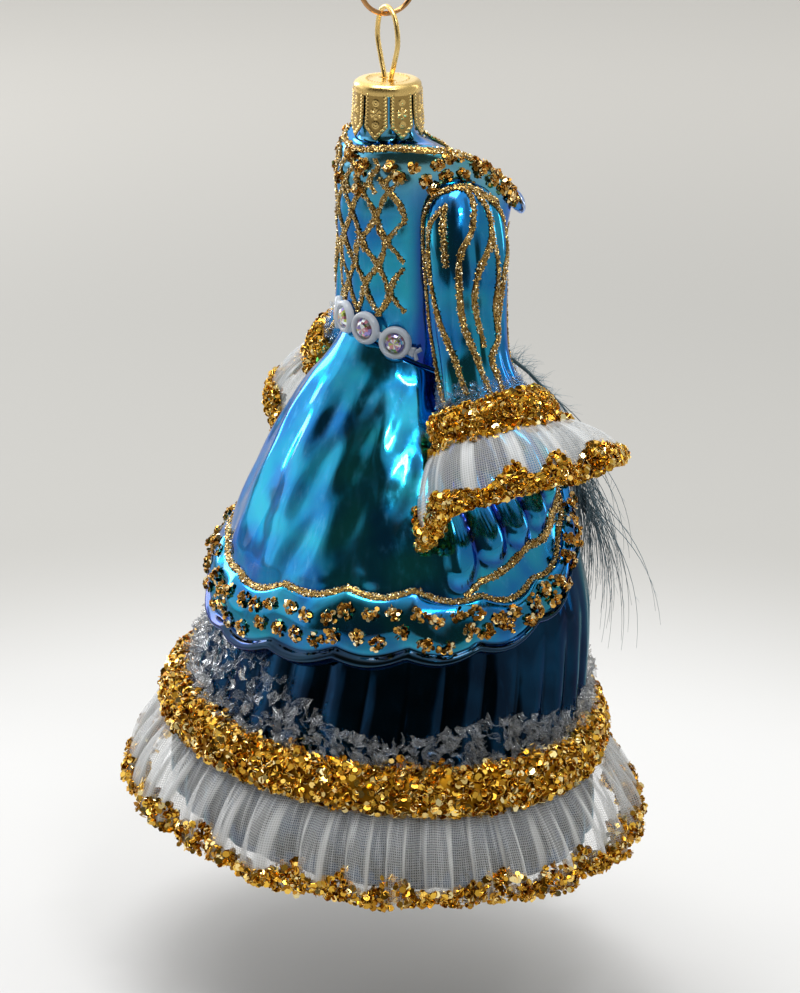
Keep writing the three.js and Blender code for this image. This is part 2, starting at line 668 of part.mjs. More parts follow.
// A point on the sleeve's own skin near the cuff, moved out; along is the way past the cuff's edge.
function cuffPoint(angle, along, out) {
  const { along: endAxis } = sleeveAxes(CUFF_END);
  const lastStep = sleeveCentre(CUFF_END).distanceTo(sleeveCentre(CUFF_END - 1));
  const index = CUFF_END + Math.min(0, along) / lastStep;
  const { outward, forward } = sleeveAxes(index);
  return sleeveCentre(index)
    .addScaledVector(endAxis, Math.max(0, along))
    .addScaledVector(outward, (sleeveRead("thick", index) + out) * Math.cos(angle))
    .addScaledVector(forward, (sleeveRead("broad", index) + out) * Math.sin(angle));
}

function cuffBandGeometry(skirt) {
  const { bandWidth, bandStand, bandColumns } = CUFF;
  const section = [
    [SEAM_GAP, -bandWidth],
    [bandStand * 0.8, -bandWidth + 0.8],
    [bandStand + 0.4, -bandWidth / 2],
    [bandStand + 0.4, -0.4],
    [bandStand, 0.3],
    [SEAM_GAP, 0.3],
  ];
  const band = sweptRing(bandColumns, false, (share) =>
    section.map(([out, along]) => cuffPoint(cuffAngle(share), along, out)),
  );
  return geometryFrom(solid(band).subtract(skirt));
}

// The frill falls from under the band; it stands out less on its outer and back sides than in front.
function cuffFrillGeometry(skirt) {
  const { drop, edgeOut, waves, columnsPerWave, rows, wave } = CUFF_FRILL;
  const columns = waves * columnsPerWave;
  const place = (i, j, outside) => {
    const share = j / columns;
    const down = i / rows;
    const angle = cuffAngle(share);
    const ripple = Math.sin(share * waves * TURN) * wave * down ** 0.8 * (0.85 + 0.15 * Math.sin(5 * angle));
    const thick = CLOTH_WALL + 0.8 * smooth(0.6, 1, down);
    const shy = 1 - 0.25 * Math.max(0, Math.cos(angle)) ** 2 - 0.15 * Math.max(0, -Math.sin(angle));
    const out = CUFF.bandStand * 0.5 + edgeOut * shy * (1 - (1 - down) ** 2) + ripple * 0.8;
    const along = 0.3 + SEAM_GAP + drop * down ** 1.2 - ripple * 0.4 * down;
    return cuffPoint(angle, along, out + (outside ? 0.5 : -0.5) * thick);
  };
  const frill = wallGeometry(rows, columns, false, (i, j) => place(i, j, true), (i, j) => place(i, j, false));
  return geometryFrom(solid(frill).subtract(skirt));
}

// ---- Belt, bow and plume ---------------------------------------------------------------------------

// A frame on the bodice just above the waist seam: a point, and the ways out, round and up there.
function waistFrame(turn) {
  let index = BODICE_TABLE.length - 1;
  while (waistDrop(turn) - (CAP_TOP - bodiceSurface(turn, index).z) < BELT.drop) index -= 0.02;
  const middle = bodiceSurface(turn, index);
  const round = bodiceSurface(turn + 0.01, index).sub(bodiceSurface(turn - 0.01, index)).normalize();
  const outward = normalOf(bodiceSurface, turn, index);
  return { middle, outward, round, up: outward.clone().cross(round).normalize() };
}
function onWaist(geometry, turn, stand) {
  const { middle, outward, round, up } = waistFrame(turn);
  const place = new THREE.Matrix4().makeBasis(round, up, outward);
  place.setPosition(middle.clone().addScaledVector(outward, stand));
  return geometry.applyMatrix4(place);
}
const stoneTurn = (k) => (k - (BELT.stones - 1) / 2) * BELT.pitchTurn * TURN;
const BELT_STAND = BELT.stand + BELT.cupDepth / 2;

function beltGeometry() {
  const parts = [];
  for (let k = 0; k < BELT.stones; k++) {
    const cup = new THREE.CylinderGeometry(BELT.cupRadius, BELT.cupRadius, BELT.cupDepth, 12);
    parts.push(solid(onWaist(cup.rotateX(Math.PI / 2), stoneTurn(k), BELT_STAND)));
    if (k === 0) continue;
    const [from, to] = [stoneTurn(k - 1), stoneTurn(k)];
    const bridge = Array.from({ length: 5 }, (_, i) => {
      const { middle, outward, up } = waistFrame(lerp(from, to, i / 4));
      const corner = (high, out) =>
        middle
          .clone()
          .addScaledVector(up, high * BELT.bridgeHalf)
          .addScaledVector(outward, BELT_STAND + out * BELT.bridgeThickHalf);
      return [corner(1, 1), corner(1, -1), corner(-1, -1), corner(-1, 1)];
    });
    parts.push(solid(loftGeometry(bridge)));
  }
  return geometryFrom(union(parts));
}
function stoneGeometry(k) {
  const profile = [
    [0, 0],
    [STONE.radius, 0],
    [STONE.radius, 0.3],
    [STONE.radius * 0.62, STONE.depth],
    [0, STONE.depth],
  ].map(([r, z]) => new THREE.Vector2(r, z));
  const stone = new THREE.LatheGeometry(profile, STONE.sides);
  stone.rotateX(Math.PI / 2);
  return outwards(onWaist(stone, stoneTurn(k), BELT_STAND + BELT.cupDepth / 2 + SEAM_GAP));
}

// A small moulded bow at the middle of the front neckline: two loops and a knot.
function bowGeometry() {
  const front = Math.PI;
  let index = 0;
  while (-bodiceSurface(front, index).z + CAP_TOP < BOW.drop) index += 0.02;
  const [at, outward] = [bodiceSurface(front, index), normalOf(bodiceSurface, front, index)];
  const place = new THREE.Matrix4().makeBasis(
    new THREE.Vector3(1, 0, 0),
    outward.clone().cross(new THREE.Vector3(1, 0, 0)).normalize(),
    outward,
  );
  const lobe = (x, rx, ry, rz, lean) => {
    const ball = new THREE.SphereGeometry(1, 8, 6).scale(rx, ry, rz);
    return solid(ball.rotateZ(lean).translate(x, 0, BOW.knot * 0.8));
  };
  const bow = union([
    lobe(-BOW.loop, BOW.loop, BOW.height, 1.0, 0.3),
    lobe(BOW.loop, BOW.loop, BOW.height, 1.0, -0.3),
    lobe(0, BOW.knot, BOW.knot, BOW.knot, 0),
  ]);
  const geometry = geometryFrom(bow).applyMatrix4(place.setPosition(at));
  const inside = solid(loftGeometry(bodiceRings(SEAM_GAP)));
  return geometryFrom(solid(geometry).subtract(inside));
}

function strand(path, rootRadius, tipRadius, sides, steps) {
  const rings = [];
  for (let i = 0; i <= steps; i++) {
    const t = i / steps;
    const along = path.getTangent(t);
    const across = new THREE.Vector3(1, 0, 0).addScaledVector(along, -along.x).normalize();
    const third = along.clone().cross(across);
    const radius = lerp(rootRadius, tipRadius, t);
    rings.push(
      Array.from({ length: sides }, (_, k) =>
        path
          .getPoint(t)
          .addScaledVector(across, radius * Math.cos((k / sides) * TURN))
          .addScaledVector(third, radius * Math.sin((k / sides) * TURN)),
      ),
    );
  }
  return solid(loftGeometry(rings));
}
function plumeGeometry(skirt) {
  const quill = new THREE.CatmullRomCurve3(
    QUILL.map(({ side, forward, drop }) => new THREE.Vector3(side, -forward, CAP_TOP - drop)),
  );
  const parts = [strand(quill, PLUME.quillRoot, 0.3, 4, 9)];
  for (let k = 0; k < PLUME.barbs; k++) {
    const t = 0.42 + (0.57 * k) / (PLUME.barbs - 1);
    const side = k % 2 ? 1 : -1;
    const root = quill.getPoint(t);
    const length = lerp(PLUME.shortest, PLUME.longest, k % 3 ? smooth(0.3, 0.8, t) : 0.3);
    const lean = 0.06 + 0.26 * Math.abs(Math.sin(k * 2.4));
    const away = 0.05 + 0.42 * Math.abs(Math.sin(k * 1.7 + 1));
    const fall = Math.sqrt(1 - lean ** 2 - away ** 2);
    const tip = root.clone().add(new THREE.Vector3(side * lean, -away, -fall).multiplyScalar(length));
    const arch = new THREE.Vector3(side * 0.04, -0.1, 0.08).multiplyScalar(length);
    const barb = new THREE.QuadraticBezierCurve3(root, root.clone().lerp(tip, 0.45).add(arch), tip);
    parts.push(strand(barb, PLUME.barbRoot, PLUME.barbTip, PLUME.sides, 2));
  }
  return geometryFrom(union(parts).subtract(skirt));
}

// ---- The ornament ----------------------------------------------------------------------------------

const ornament = new THREE.Group();
function add(name, geometry, material) {
  const mesh = new THREE.Mesh(geometry, material);
  mesh.name = name;
  ornament.add(mesh);
}

const skirt = skirtEnvelope();
const bodiceSolid = solid(loftGeometry(bodiceRings(SEAM_GAP)));
const sleeve = sleeveSolids();
const sleeveHollowLeft = solid(mirrored(geometryFrom(sleeve.hollow)));
const rightSleeve = geometryFrom(sleeve.outer.subtract(sleeve.hollow).subtract(bodiceSolid).subtract(skirt));
const rightCuffBand = cuffBandGeometry(skirt);
const rightCuffFrill = cuffFrillGeometry(skirt);

add("ring", ringGeometry(), RING_METAL);
add("loop", loopGeometry(), CAP_METAL);
add("cap", capGeometry(), CAP_METAL);
add("bodice", bodiceGeometry([sleeve.hollow, sleeveHollowLeft]), LACQUERED_GLASS);
add("overskirt", overskirtGeometry(), LACQUERED_GLASS);
add("petticoat", petticoatGeometry(), NAVY_GLASS);
for (const [side, name] of [[RIGHT, "right"], [LEFT, "left"]]) {
  const place = (geometry) => (side === RIGHT ? geometry : mirrored(geometry));
  add(`sleeve_${name}`, place(rightSleeve), LACQUERED_GLASS);
  add(`cuff_band_${name}`, place(rightCuffBand), GLITTER);
  add(`cuff_frill_${name}`, place(rightCuffFrill), ORGANZA);
}
add("hem_band", hemBandGeometry(), GLITTER);
add("hem_frill", hemFrillGeometry(), ORGANZA);
add("belt", beltGeometry(), FROSTED_PLASTIC);
for (let k = 0; k < BELT.stones; k++) add(`belt_stone_${k + 1}`, stoneGeometry(k), STONE_GLASS);
add("neckline_bow", bowGeometry(), LACQUERED_GLASS);
add("plume", plumeGeometry(skirt), FEATHER);

export default ornament;
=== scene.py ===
"""The looks of a hanging glass ornament shaped as an 18th-century court robe.

Every length is in millimetres until a mesh is made of it, but the studio's are in metres. +Z is up and
the robe faces -Y, so the wearer's right sleeve is on the -X side. "drop" is the distance below the cap's
top face. "turn" is the angle round the robe, in radians, from 0 at the back centre, through the wearer's
right, to pi in front.
"""

import logging
from dataclasses import dataclass, field
from enum import Enum
from typing import Callable, Mapping, Sequence

import bpy
import numpy as np
from mathutils import Matrix
from numpy.typing import NDArray

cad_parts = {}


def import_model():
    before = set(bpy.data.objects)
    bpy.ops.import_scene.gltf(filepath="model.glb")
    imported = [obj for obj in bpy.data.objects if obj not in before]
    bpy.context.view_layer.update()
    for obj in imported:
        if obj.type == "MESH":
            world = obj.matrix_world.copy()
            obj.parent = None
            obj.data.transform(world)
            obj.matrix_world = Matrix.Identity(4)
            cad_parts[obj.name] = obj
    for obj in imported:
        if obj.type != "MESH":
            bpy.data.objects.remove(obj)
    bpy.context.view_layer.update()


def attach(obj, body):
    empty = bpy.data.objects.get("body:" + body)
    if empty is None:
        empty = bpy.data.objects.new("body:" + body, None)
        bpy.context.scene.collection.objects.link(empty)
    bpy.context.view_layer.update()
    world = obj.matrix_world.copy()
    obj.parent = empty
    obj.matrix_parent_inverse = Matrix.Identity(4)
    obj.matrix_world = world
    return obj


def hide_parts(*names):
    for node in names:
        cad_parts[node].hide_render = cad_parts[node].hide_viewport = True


Array = NDArray[np.float64]
Surface = Callable[[Array, Array], Array]
Material = bpy.types.Material
Piece = bpy.types.Object
Rng = np.random.Generator

log = logging.getLogger("robe")
MM = 0.001
TURN = 2 * np.pi
SEED = 18


class Side(Enum):
    """The wearer's two sides, as the sign that x is multiplied by."""

    RIGHT = 1
    LEFT = -1

    @property
    def word(self) -> str:
        """The side's word in the names of pieces."""
        return self.name.lower()


# ---- Small maths ----


def smooth(low: float, high: float, x: Array | float) -> Array:
    """A soft step: 0 up to low, 1 from high, and 3t^2 - 2t^3 between them."""
    t = np.clip((np.asarray(x, float) - low) / (high - low), 0, 1)
    return t * t * (3 - 2 * t)


def bump(x: Array, centre: float, width: float) -> Array:
    """A bell: e to the minus square of the distance from centre in widths."""
    return np.exp(-(((x - centre) / width) ** 2))


def unit(vectors: Array) -> Array:
    """The same directions, each one long."""
    return vectors / np.maximum(np.linalg.norm(vectors, axis=-1, keepdims=True), 1e-12)


def lerp(a: Array | float, b: Array | float, t: Array | float) -> Array:
    """The value t of the way from a to b."""
    return a + (b - a) * t


def read_rows(keys: Array, values: Array, x: Array | float) -> Array:
    """Reads a table of sizes by a smooth curve through its rows (a cubic with central slopes).

    Args:
        keys: Where each row stands, rising.
        values: The size in each row.
        x: Where to read.

    Returns:
        The sizes at x, held at the table's ends.
    """
    keys, values, x = (np.asarray(a, float) for a in (keys, values, x))
    last = len(keys) - 1
    i = np.clip(np.searchsorted(keys[1:last], x, side="left"), 0, last - 1)
    before, after = np.maximum(i - 1, 0), np.minimum(i + 2, last)
    p, q = values[i], values[i + 1]
    span = keys[i + 1] - keys[i]
    t = np.clip((x - keys[i]) / span, 0, 1)
    slope_p = (q - values[before]) / (keys[i + 1] - keys[before]) * span
    slope_q = (values[after] - p) / (keys[after] - keys[i]) * span
    t2, t3 = t * t, t * t * t
    near, far = 2 * t3 - 3 * t2 + 1, 3 * t2 - 2 * t3
    return near * p + (t3 - 2 * t2 + t) * slope_p + far * q + (t3 - t2) * slope_q


def normal_of(surface: Surface, u: Array, v: Array) -> Array:
    """The outward normal: a short step down the surface crossed with a short step round it."""
    step = 0.001  # of the surface's own parameters
    around = surface(u + step, v) - surface(u - step, v)
    down = surface(u, v + step) - surface(u, v - step)
    return unit(np.cross(down, around))


def smooth_path(points: Sequence[Sequence[float]], count: int) -> Array:
    """Evenly numbered places on a smooth curve through a few points.

    Args:
        points: The points that the curve passes.
        count: How many places to return.

    Returns:
        The places, one row each.
    """
    rows = np.asarray(points, float)
    steps = np.r_[0, np.cumsum(np.linalg.norm(np.diff(rows, axis=0), axis=1))]
    x = np.linspace(0, steps[-1], count)
    return np.stack([read_rows(steps, rows[:, k], x) for k in range(rows.shape[1])], -1)


def wrapped(turn: Array) -> Array:
    """The same angles, between minus half a turn and half a turn."""
    return (turn + np.pi) % TURN - np.pi


def round_angles(count: int) -> Array:
    """Even angles round a full turn."""
    return np.linspace(0, TURN, count, endpoint=False)


def table(rows: Array | Sequence[float], columns: Array | Sequence[float]) -> tuple[Array, Array]:
    """The row's value and the column's value at each place of a grid."""
    down, across = np.meshgrid(rows, columns, indexing="ij")
    return down, across


def same_shape(*values: Array | float) -> tuple[Array, ...]:
    """The values as arrays of one shape."""
    return tuple(np.broadcast_arrays(*(np.asarray(value, float) for value in values)))


# ---- Shapes and meshes ----


@dataclass
class Shape:
    """Points and faces, with the values that the finishes read, before they become a mesh."""

    points: Array
    faces: list[NDArray[np.int64]]
    values: dict[str, Array] = field(default_factory=dict)
    cloth: Array | None = None

    def marked(self, **values: Array | float) -> "Shape":
        """The same shape, with more values at its points; a value that no shape has reads as 0."""
        for name, value in values.items():
            self.values[name] = np.broadcast_to(np.ravel(value), (len(self.points),)).astype(float)
        return self

    def mirrored(self, side: Side) -> "Shape":
        """The shape on the given side: itself, or its mirror image with its faces turned round."""
        if side is Side.RIGHT:
            return self
        faces = [f[:, ::-1] for f in self.faces]
        cloth = None if self.cloth is None else self.cloth.reshape(-1, 4, 2)[:, ::-1].reshape(-1, 2)
        return Shape(self.points * [-1, 1, 1], faces, dict(self.values), cloth)


def joined(shapes: Sequence[Shape]) -> Shape:
    """One shape of several, with their faces renumbered."""
    starts = np.cumsum([0] + [len(s.points) for s in shapes])
    faces = [f + start for s, start in zip(shapes, starts) for f in s.faces]
    names = set().union(*(s.values for s in shapes))
    values = {
        name: np.concatenate([s.values.get(name, np.zeros(len(s.points))) for s in shapes]) for name in names
    }
    return Shape(np.concatenate([s.points for s in shapes]), faces, values)


def grid(
    points: Array, round_closed: bool = False, path_closed: bool = False, cloth: Array | None = None
) -> Shape:
    """Four-sided faces over a grid of points: rows run down the form and columns run round it.

    Args:
        points: The grid, as rows, columns and x, y, z.
        round_closed: Whether the last column joins the first.
        path_closed: Whether the last row joins the first.
        cloth: The flat cloth's own place of each grid point, with one column more where it is closed.

    Returns:
        The shape, facing outwards where rows run down and columns run from +Y by -X to -Y.
    """
    rows, columns = points.shape[:2]
    i, j = table(
        np.arange(rows if path_closed else rows - 1), np.arange(columns if round_closed else columns - 1)
    )
    below, beside = (i + 1) % rows, (j + 1) % columns
    corners = [i * columns + j, below * columns + j, below * columns + beside, i * columns + beside]
    quads = np.stack(corners, -1).reshape(-1, 4)
    flat = None
    if cloth is not None:
        places = [cloth[i, j], cloth[i + 1, j], cloth[i + 1, j + 1], cloth[i, j + 1]]
        flat = np.stack(places, 2).reshape(-1, 2)
    return Shape(points.reshape(-1, 3), [quads], {}, flat)


def fan(shape: Shape, ring: NDArray[np.int64], centre: Array) -> Shape:
    """Closes a hole with triangles.

    Args:
        shape: The shape with the hole; it is changed.
        ring: The numbers of the points round the hole.
        centre: Where the triangles meet: a new point.

    Returns:
        The same shape.
    """
    apex = len(shape.points)
    shape.points = np.vstack([shape.points, centre])
    shape.faces.append(np.stack([np.full(len(ring), apex), ring, np.roll(ring, -1)], -1))
    for name, value in shape.values.items():
        shape.values[name] = np.append(value, value[ring].mean())
    return shape


def capped(tube: Shape, rows: int, sides: int, first: Array, last: Array) -> Shape:
    """Closes both ends of a tube.

    Args:
        tube: A tube of rows of points; it is changed.
        rows: How many rows it has.
        sides: How many points each row has.
        first: The middle of the first row's end.
        last: The middle of the last row's end.

    Returns:
        The same tube.
    """
    ring = np.arange(sides)
    return fan(fan(tube, ring, first), ((rows - 1) * sides + ring)[::-1], last)


def sweep(
    path: Array,
    across: Array,
    half_across: Array | float,
    half_up: Array | float,
    sides: int,
    closed: bool = False,
) -> Shape:
    """An oval section carried along a path: path + across * a * cos(angle) + up * b * sin(angle).

    Args:
        path: The centre line's points.
        across: A direction at each point that isn't along the path.
        half_across: Half of the section's size along across, at each point.
        half_up: Half of its size at right angles to that.
        sides: Points round the section.
        closed: Whether the path is a ring.

    Returns:
        A closed tube.
    """
    ahead = np.roll(path, -1, 0) - np.roll(path, 1, 0) if closed else np.gradient(path, axis=0)
    tangent = unit(ahead)
    across = np.broadcast_to(across, path.shape)
    across = unit(across - tangent * np.sum(across * tangent, -1, keepdims=True))
    up = np.cross(across, tangent)
    angle = round_angles(sides)
    a = np.broadcast_to(half_across, len(path))[:, None, None]
    b = np.broadcast_to(half_up, len(path))[:, None, None]
    rings = (
        path[:, None]
        + across[:, None] * a * np.cos(angle)[None, :, None]
        + up[:, None] * b * np.sin(angle)[None, :, None]
    )
    tube = grid(rings, round_closed=True, path_closed=closed)
    return tube if closed else capped(tube, len(path), sides, path[0], path[-1])


def hexagon_flake(thickness: float) -> Shape:
    """A six-sided plate one unit in radius: glitter is cut from film as hexagons."""
    angle = round_angles(6)
    rim = np.stack([np.cos(angle), np.sin(angle), np.zeros(6)], -1)
    points = np.vstack([rim + [0, 0, thickness / 2], rim - [0, 0, thickness / 2]])
    j = np.arange(6)
    k = (j + 1) % 6
    return Shape(points, [j[None], (j[::-1] + 6)[None], np.stack([j + 6, k + 6, k, j], -1)])


def grain(flatness: float) -> Shape:
    """A squashed octahedron one unit in radius, for glitter too fine to show its cut."""
    rim = [[1, 0, 0], [0, 1, 0], [-1, 0, 0], [0, -1, 0]]
    points = np.array([*rim, [0, 0, flatness], [0, 0, -flatness]], float)
    j = np.arange(4)
    k = (j + 1) % 4
    return Shape(points, [np.stack([j, k, np.full(4, 4)], -1), np.stack([k, j, np.full(4, 5)], -1)])


def shard(bend: float, thickness: float) -> Shape:
    """A splinter of a thin glass bubble: a small uneven plate of four by three points.

    Args:
        bend: How much it is bent: z = bend * (x^2 + y^2 / 2).
        thickness: Its thickness, in its own radius.

    Returns:
        The closed plate, about one unit in radius.
    """
    x, y = table([-1.0, -0.3, 0.4, 1.0], [-0.65, 0.05, 0.7])
    x, y = x + 0.25 * y, y * (1 - 0.35 * x)
    top = np.stack([x, y, bend * (x**2 + y**2 / 2) + thickness / 2], -1).reshape(-1, 3)
    points = np.vstack([top, top - [0, 0, thickness]])
    i = np.array([0, 3, 6, 1, 4, 7])
    over = np.stack([i, i + 3, i + 4, i + 1], -1)
    rim = np.array([0, 3, 6, 9, 10, 11, 8, 5, 2, 1])
    walls = np.stack([rim, rim + 12, np.roll(rim, -1) + 12, np.roll(rim, -1)], -1)
    return Shape(points, [over, over[:, ::-1] + 12, walls])


def scatter(
    template: Shape, centres: Array, normals: Array, sizes: Array, tip: float, rng: Rng
) -> Shape:
    """Copies of one small shape, each spun at random and tipped off the surface's normal.

    Args:
        template: The small shape, one unit in radius, lying across its z axis.
        centres: Where the copies go.
        normals: The surface's outward normal there.
        sizes: Each copy's radius.
        tip: How far the copies tip: the spread added to the normal.
        rng: The source of the randomness.

    Returns:
        All copies, each with one "tint" from 0 to 1.
    """
    count = len(centres)
    up = unit(normals + tip * rng.normal(size=(count, 3)))
    east = unit(np.cross(up, rng.normal(size=(count, 3))))
    axes = np.stack([east, np.cross(up, east), up], 1)
    points = centres[:, None] + sizes[:, None, None] * np.einsum("pk,nkx->npx", template.points, axes)
    step = (np.arange(count) * len(template.points))[:, None, None]
    faces = [(f[None] + step).reshape(-1, f.shape[1]) for f in template.faces]
    tints = np.repeat(rng.random(count), len(template.points))
    return Shape(points.reshape(-1, 3), faces, {"tint": tints})


def link(name: str, data: bpy.types.ID) -> Piece:
    """Makes an object of some data and links it to the scene."""
    item = bpy.data.objects.new(name, data)
    bpy.context.scene.collection.objects.link(item)
    return item


def make_piece(name: str, shape: Shape, finish: Material, flat_faced: bool = False) -> Piece:
    """Makes a Blender object of a shape, at the origin, in metres.

    Args:
        name: The piece's name.
        shape: Its points, faces and values.
        finish: Its material.
        flat_faced: Whether its faces stay flat, as on cut or crushed pieces.

    Returns:
        The object, linked to the scene.
    """
    mesh = bpy.data.meshes.new(name)
    faces = [row for block in shape.faces for row in block.tolist()]
    mesh.from_pydata((shape.points * MM).tolist(), [], faces)
    if shape.cloth is not None:
        layer = mesh.uv_layers.new(name="cloth")
        layer.data.foreach_set("uv", (shape.cloth * MM).ravel())
    for key, value in shape.values.items():
        mesh.attributes.new(key, "FLOAT", "POINT").data.foreach_set("value", value.astype(np.float32))
    mesh.polygons.foreach_set("use_smooth", np.full(len(mesh.polygons), not flat_faced))
    mesh.materials.append(finish)
    mesh.update()
    return link(name, mesh)


def give_wall(piece: Piece, thickness: float, inwards: float = -1.0) -> Piece:
    """Gives an open skin its wall.

    Args:
        piece: The skin; it is changed.
        thickness: The wall's thickness.
        inwards: -1 for a wall inside the skin, 0 for one half on each side of it.

    Returns:
        The same piece.
    """
    wall = piece.modifiers.new("wall", "SOLIDIFY")
    wall.thickness = thickness * MM
    wall.offset = inwards
    return piece


def seat(piece: Piece, slot: str, *nodes: str) -> Piece:
    """Makes a piece ride the ornament and reports it.

    Args:
        piece: The piece.
        slot: Not used.
        *nodes: The nodes of the solid that it stands for.

    Returns:
        The same piece.
    """
    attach(piece, "root")
    if nodes:
        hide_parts(*nodes)
    log.info("%s: %d faces", piece.name, len(piece.data.polygons))
    return piece


def seat_shell(
    name: str, shape: Shape, finish: Material, wall: float, slot: str, node: str, inwards: float = -1.0
) -> Piece:
    """Makes and seats a skin with a wall, which stands for one node."""
    return seat(give_wall(make_piece(name, shape, finish), wall, inwards), slot, node)


def seat_glitter(name: str, shape: Shape, finish: Material) -> Piece:
    """Makes and seats a piece of loose glitter, whose grains stay flat-faced."""
    return seat(make_piece(name, shape, finish, flat_faced=True), "glitter")


# ---- Finishes ----

Source = bpy.types.Node | tuple[bpy.types.Node, str | int]
MIX_A, MIX_B, MIX_OUT = 6, 7, 2  # the colour sockets of a Mix node
COLOURS = {"data_type": "RGBA"}
SOFT = {"interpolation_type": "SMOOTHSTEP"}


def linear(colour: int) -> tuple[float, float, float, float]:
    """A linear colour, with full alpha, from an sRGB hex value."""
    parts = np.array([(colour >> shift & 255) / 255 for shift in (16, 8, 0)])
    values = np.where(parts <= 0.04045, parts / 12.92, ((parts + 0.055) / 1.055) ** 2.4)
    return (*values.tolist(), 1.0)


def per_metre(size: float) -> float:
    """The scale of a noise whose patches are a size in millimetres."""
    return 1 / (size * MM)


def add_node(
    owner: Material | bpy.types.World,
    kind: str,
    settings: Mapping[str, object] | None = None,
    values: Mapping[str | int, object] | None = None,
    links: Mapping[str | int, Source] | None = None,
) -> bpy.types.Node:
    """Adds one node to a material or a world.

    Args:
        owner: The material or world that gets the node.
        kind: Blender's name for the kind of node, after its first word ShaderNode.
        settings: The node's own options.
        values: Plain values of its inputs.
        links: Inputs that read another node: that node, for its first output, or it and an output.

    Returns:
        The node.
    """
    tree = owner.node_tree
    node = tree.nodes.new("ShaderNode" + kind)
    for key, value in (settings or {}).items():
        setattr(node, key, value)
    for key, value in (values or {}).items():
        node.inputs[key].default_value = value
    for key, source in (links or {}).items():
        from_node, output = source if isinstance(source, tuple) else (source, 0)
        tree.links.new(from_node.outputs[output], node.inputs[key])
    return node


class Finish:
    """What every finish does: it makes a material and gives it the shader of its own kind."""

    name: str

    def shade(self, m: Material) -> bpy.types.Node:
        """Adds the finish's nodes and returns its last one; each finish has its own.

        Args:
            m: The material that gets the nodes.

        Returns:
            The finish's last node.
        """
        raise NotImplementedError

    def build(self) -> Material:
        """Makes the material."""
        m = bpy.data.materials.new(self.name)
        m.use_nodes = True
        m.node_tree.nodes.clear()
        add_node(m, "OutputMaterial", links={"Surface": self.shade(m)})
        return m


@dataclass(frozen=True)
class MirrorGlass(Finish):
    """Blown glass, silvered inside and dipped in clear lacquer.

    It is a coloured mirror under a glossy coat. It is darker in the grooves, seams and tucked edges, partly
    where the lacquer pools and partly as painted shade, and darker still over the rolled border as painted
    shade. The lacquer thins to a paler tone over the yoke, and the hand-blown wall makes reflections wander.
    """

    name: str
    lacquer: int
    thin_lacquer: int
    # the grooves' tone: partly lacquer pooled there, partly painted shade
    pooled_lacquer_and_shade: int
    pale: int
    # painted shade: the tone that darkens the rolled border, most of all its lip
    deep_shade_tone: int = 0x05223A
    smoothest: float = 0.06
    dullest: float = 0.2
    cloud_mm: float = 8.5  # how wide the patches of thicker and thinner lacquer are
    streak_mm: float = 1.4  # how wide the dipping streaks are; each runs about eight times as long
    wave_mm: float = 9.0  # how wide the blown wall's waves are
    wave_height: float = 0.65  # in millimetres, over the whole range of the noise
    coat: float = 0.45
    streak_tone: int = 0x62B6EC
    edge_tone: int = 0x84B0F4  # what the mirror turns to where it is seen edge on

    def shade(self, m: Material) -> bpy.types.Node:
        """Tones laid over each other by clouds, streaks and the mesh's values, on a waved mirror."""
        place = (add_node(m, "TexCoord"), "Object")
        soft = {"Scale": per_metre(self.cloud_mm), "Detail": 2.0, "Roughness": 0.4}
        cloud = add_node(m, "TexNoise", values=soft, links={"Vector": place})
        cloudy = add_node(m, "MapRange", values={"From Min": 0.35, "From Max": 0.7}, links={"Value": cloud})
        fall = add_node(m, "Mapping", values={"Scale": (1, 1, 0.12)}, links={"Vector": place})
        fine = {"Scale": per_metre(self.streak_mm), "Detail": 3.0, "Roughness": 0.6}
        streak = add_node(m, "TexNoise", values=fine, links={"Vector": fall})
        few = {"From Min": 0.56, "From Max": 0.78, "To Max": 0.4}
        thin = add_node(m, "MapRange", values=few, links={"Value": streak})
        # the groove value darkens grooves, seams and tucked edges, partly pooled lacquer and partly painted
        # shade; the deep value is painted shade over the rolled border
        tone, groove, deep = (
            (add_node(m, "Attribute", {"attribute_name": name}), "Fac") for name in ("tone", "groove", "deep")
        )
        ends = {MIX_A: linear(self.lacquer), MIX_B: linear(self.thin_lacquer)}
        colour = add_node(m, "Mix", COLOURS, ends, {0: cloudy})
        layers = (
            (thin, self.streak_tone),
            (tone, self.pale),
            (groove, self.pooled_lacquer_and_shade),
            (deep, self.deep_shade_tone),
        )
        for share, over in layers:
            colour = add_node(m, "Mix", COLOURS, {MIX_B: linear(over)}, {0: share, MIX_A: (colour, MIX_OUT)})
        gloss = {"From Min": 0.3, "From Max": 0.75, "To Min": self.smoothest, "To Max": self.dullest}
        dull = add_node(m, "MapRange", values=gloss, links={"Value": streak})
        broad = {"Scale": per_metre(self.wave_mm), "Detail": 1.0}
        wave = add_node(m, "TexNoise", values=broad, links={"Vector": place})
        height = {"Strength": 1.0, "Distance": self.wave_height * MM}
        uneven = add_node(m, "Bump", values=height, links={"Height": wave})
        return add_node(
            m,
            "BsdfPrincipled",
            values={
                "Metallic": 1.0,
                "Specular Tint": linear(self.edge_tone),
                "Coat Weight": self.coat,
                "Coat Roughness": 0.03,
                "Coat IOR": 1.5,
            },
            links={"Base Color": (colour, MIX_OUT), "Roughness": dull, "Normal": uneven},
        )


